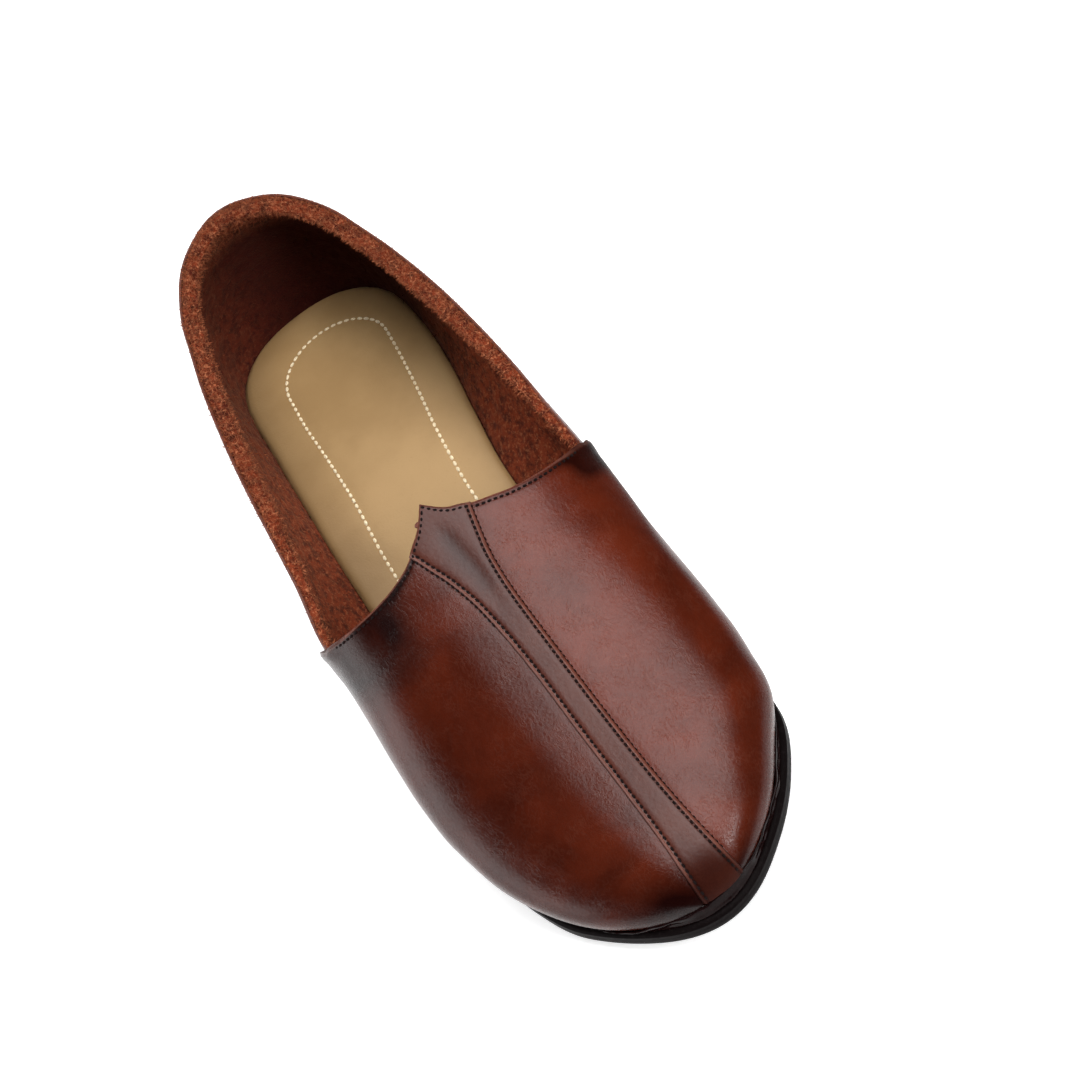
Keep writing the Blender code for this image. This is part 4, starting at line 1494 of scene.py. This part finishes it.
# %% Rubber materials
SOLE_BLACK = (0.0050, 0.0034, 0.0035, 1.0)
HEEL_BLACK = (0.0060, 0.0044, 0.0045, 1.0)
RAND_BLACK = (0.0060, 0.0018, 0.0018, 1.0)
DUST = 700.0


def rubber(name, colour, roughness, lumps, shine):
    material, tree, shader = new_material(name, roughness, shine)
    dust = grain(tree, DUST, detail=4.0)
    pale = tuple(c * 1.8 + 0.002 for c in colour[:3]) + (1.0,)
    dusty = blend_colours(tree, between(tree, dust, 0.5, 0.8), colour, pale)
    rough = between(tree, dust, 0.3, 0.7, roughness - 0.04, roughness + 0.08)
    plug_in(tree, shader, {"Base Color": dusty, "Roughness": rough})
    add_bump(tree, shader, grain(tree, lumps, detail=3.0), 0.35, 0.0003)
    return material


sole_rubber = rubber("sole_rubber", SOLE_BLACK, 0.36, 500.0, 0.015)
heel_rubber = rubber("heel_rubber", HEEL_BLACK, 0.42, 600.0, 0.08)
rand_rubber = rubber("rand_rubber", RAND_BLACK, 0.13, 260.0, 0.08)
print("rubbers:", sole_rubber.name, heel_rubber.name, rand_rubber.name)

# %% Outsole
# Columns: inset from the outline, height as a share of SOLE_THICKNESS
SOLE_SIDE = [
    (EDGE_ROUND * 1.5, 0.00),
    (EDGE_ROUND * 0.85, 0.03),
    (EDGE_ROUND * 0.40, 0.10),
    (EDGE_ROUND * 0.10, 0.20),
    (0.0, 0.30),
    (0.0, 0.48),
    (EDGE_ROUND * 0.20, 0.54),
    (EDGE_ROUND * 0.85, 0.58),
    (EDGE_ROUND, 0.62),
    (EDGE_ROUND, 0.80),
    (EDGE_ROUND * 1.15, 0.90),
    (SOLE_TOP_INSET, 1.00),
]


def sole_line(along, side):
    """The sole's side from below upwards; its groove fades out towards the toe."""
    edge, direction = sole_point(along, side), outward(sole_point, along, side)
    worn = 1 - 0.95 * smooth(along, 0.74, 0.86)
    line = []
    for inset, rise in SOLE_SIDE:
        point = edge - direction * inset * (worn if 0.3 < rise < 0.95 else 1.0)
        point.z = underside(point.y) + SOLE_THICKNESS * rise
        line.append(point)
    return line


def across_sole(start, end, width, height):
    """Points between two sides of the sole, at a height over its underside."""
    points = [start.lerp(end, k / width) for k in range(1, width)]
    for point in points:
        point.z = underside(point.y) + height
    return points


def build_outsole(rows=220, width=14):
    rings = []
    for i in range(rows + 1):
        along = 0.5 - 0.5 * math.cos(math.pi * i / rows)
        right, left = sole_line(along, MEDIAL), sole_line(along, LATERAL)
        over = across_sole(right[-1], left[-1], width, SOLE_THICKNESS)
        under = across_sole(left[0], right[0], width, 0.0)
        rings.append([*right, *over, *left[::-1], *under])
    return laid_grid(rings, closed=True)


as_piece("sole", build_outsole(), [sole_rubber], "outsole")

# %% Heel
# Columns: inset from the sole's outline, height as a share of HEEL_HEIGHT
HEEL_SIDE = [
    (EDGE_ROUND * 2.5, 0.000),
    (EDGE_ROUND * 1.9, 0.020),
    (EDGE_ROUND * 1.5, 0.067),
    (EDGE_ROUND, 0.140),
    (EDGE_ROUND, 0.450),
    (EDGE_ROUND * 1.75, 0.495),
    (EDGE_ROUND * 1.75, 0.560),
    (EDGE_ROUND, 0.610),
    (EDGE_ROUND, 0.975),
]


def build_heel(columns=120):
    rings = []
    for inset, rise in HEEL_SIDE:
        ring = []
        for along, side in round_the_heel(HEEL_BREAST, columns):
            point = sole_point(along, side) - outward(sole_point, along, side) * inset
            point.z = HEEL_HEIGHT * rise
            ring.append(point)
        rings.append(ring)
    return laid_grid(rings, closed=True, capped=True)


heel = as_piece("heel_block", build_heel(), [heel_rubber], "heel")
heel.data.set_sharp_from_angle(angle=SHARP_EDGE)


# %% Rand
def vamp_face(along, side, z):
    """The point of the vamp's face at a height, found by halving."""
    low, high = 1.0, 0.3
    for _ in range(16):
        share = (low + high) / 2
        point, _ = lifted(along, side * share, VAMP_STEP + CLEARANCE * 0.3)
        low, high = (share, high) if point.z < z else (low, share)
    point.z = z
    return point


def rand_section(along, side):
    """A ring of six points between the sole's edge and the vamp, and the way outwards."""
    height = RAND_HEIGHT * (rand_outer(along) if side == LATERAL else rand_inner(along))
    direction = outward(feather_point, along, side)
    edge = sole_point(along, side) - outward(sole_point, along, side) * RAND_INSET
    edge.z = base = feather(along)
    foot, middle, top = (vamp_face(along, side, base + height * rise) for rise in (0.0, 0.5, 1.0))
    outer = []
    for inner, rise, share in ((foot, 0.0, 0.0), (middle, 0.5, 0.35), (top, 0.94, 0.75)):
        point = edge.lerp(top, share)
        lip = inner + direction * RAND_LIP
        if (lip - point).dot(direction) > 0:
            point = lip
        point.z = base + height * rise
        outer.append(point)
    for point in (outer[0], foot):
        point.z = seat(point.y)
    return [*outer, top, middle, foot], direction


def rounded(ring, steps):
    """Points on a smooth closed curve through the ring's points."""
    count = len(ring)
    line = []
    for i in range(count):
        before, start, end, after = (ring[(i + k) % count] for k in (-1, 0, 1, 2))
        for k in range(steps):
            t = k / steps
            tangent_start, tangent_end = (end - before) * 0.4, (after - start) * 0.4
            point = start * (1 + 2 * t) * (1 - t) ** 2 + tangent_start * t * (1 - t) ** 2
            line.append(point + end * t * t * (3 - 2 * t) + tangent_end * t * t * (t - 1))
    return line


RAND_LUMPS, RAND_RAGGED = 0.0011, 0.0010
COARSE, FINE, RAGGED = 90.0, 260.0, 150.0
# Steps between two of a section's points, and the steps where its face ends and its lip starts
SECTION_STEPS, FACE_END, LIP_START = 4, 15, 9


def build_rand(count=260):
    places = []
    for i in range(count + 1):
        places.append(RAND_START + (NOSE_END - RAND_START) * math.sin(math.pi / 2 * i / count))
    path = [(along, LATERAL) for along in places] + [(along, MEDIAL) for along in places[::-1]]
    rings = []
    for along, side in path:
        section, direction = rand_section(along, side)
        ring = rounded(section, SECTION_STEPS)
        toe = smooth(along, 0.80, 0.95)
        for index in range(1, FACE_END):
            point = ring[index]
            lump = noise.noise(point * COARSE) * 0.7 + noise.noise(point * FINE) * 0.3
            point += direction * (lump + 0.1) * RAND_LUMPS * toe
            if index >= LIP_START:
                point.z += noise.noise(point * RAGGED) * RAND_RAGGED * toe
        rings.append(ring)
    return laid_grid(rings, closed=True, capped=True)


as_piece("toe_rand", build_rand(), [rand_rubber], "rand")

# %% [markdown]
# ## Floor
#
# The shoe stands on a plain white floor. It glows very slightly, as a lit studio table does,
# so that it stays white under the shoe and leaves only a faint shadow.


# %% Floor
FLOOR_WHITE, GLOW_WHITE, GLOW = (0.90, 0.90, 0.90, 1.0), (1.0, 1.0, 1.0, 1.0), 0.60


def make_floor():
    data = bmesh.new()
    bmesh.ops.create_grid(data, x_segments=1, y_segments=1, size=3.0)
    mesh = as_mesh("floor", data)
    material, tree, shader = new_material("floor_white", 0.6, 0.2)
    glow = {"Emission Color": GLOW_WHITE, "Emission Strength": GLOW}
    plug_in(tree, shader, {"Base Color": FLOOR_WHITE, **glow})
    mesh.materials.append(material)
    floor = add_object("floor", mesh)


make_floor()
print("floor laid")

# %% [markdown]
# ## Finish
#
# The dressed shoe has to stay the size of the imported one. The view layer is brought up to date at the
# end.

# %% Update the view layer
bpy.context.view_layer.update()
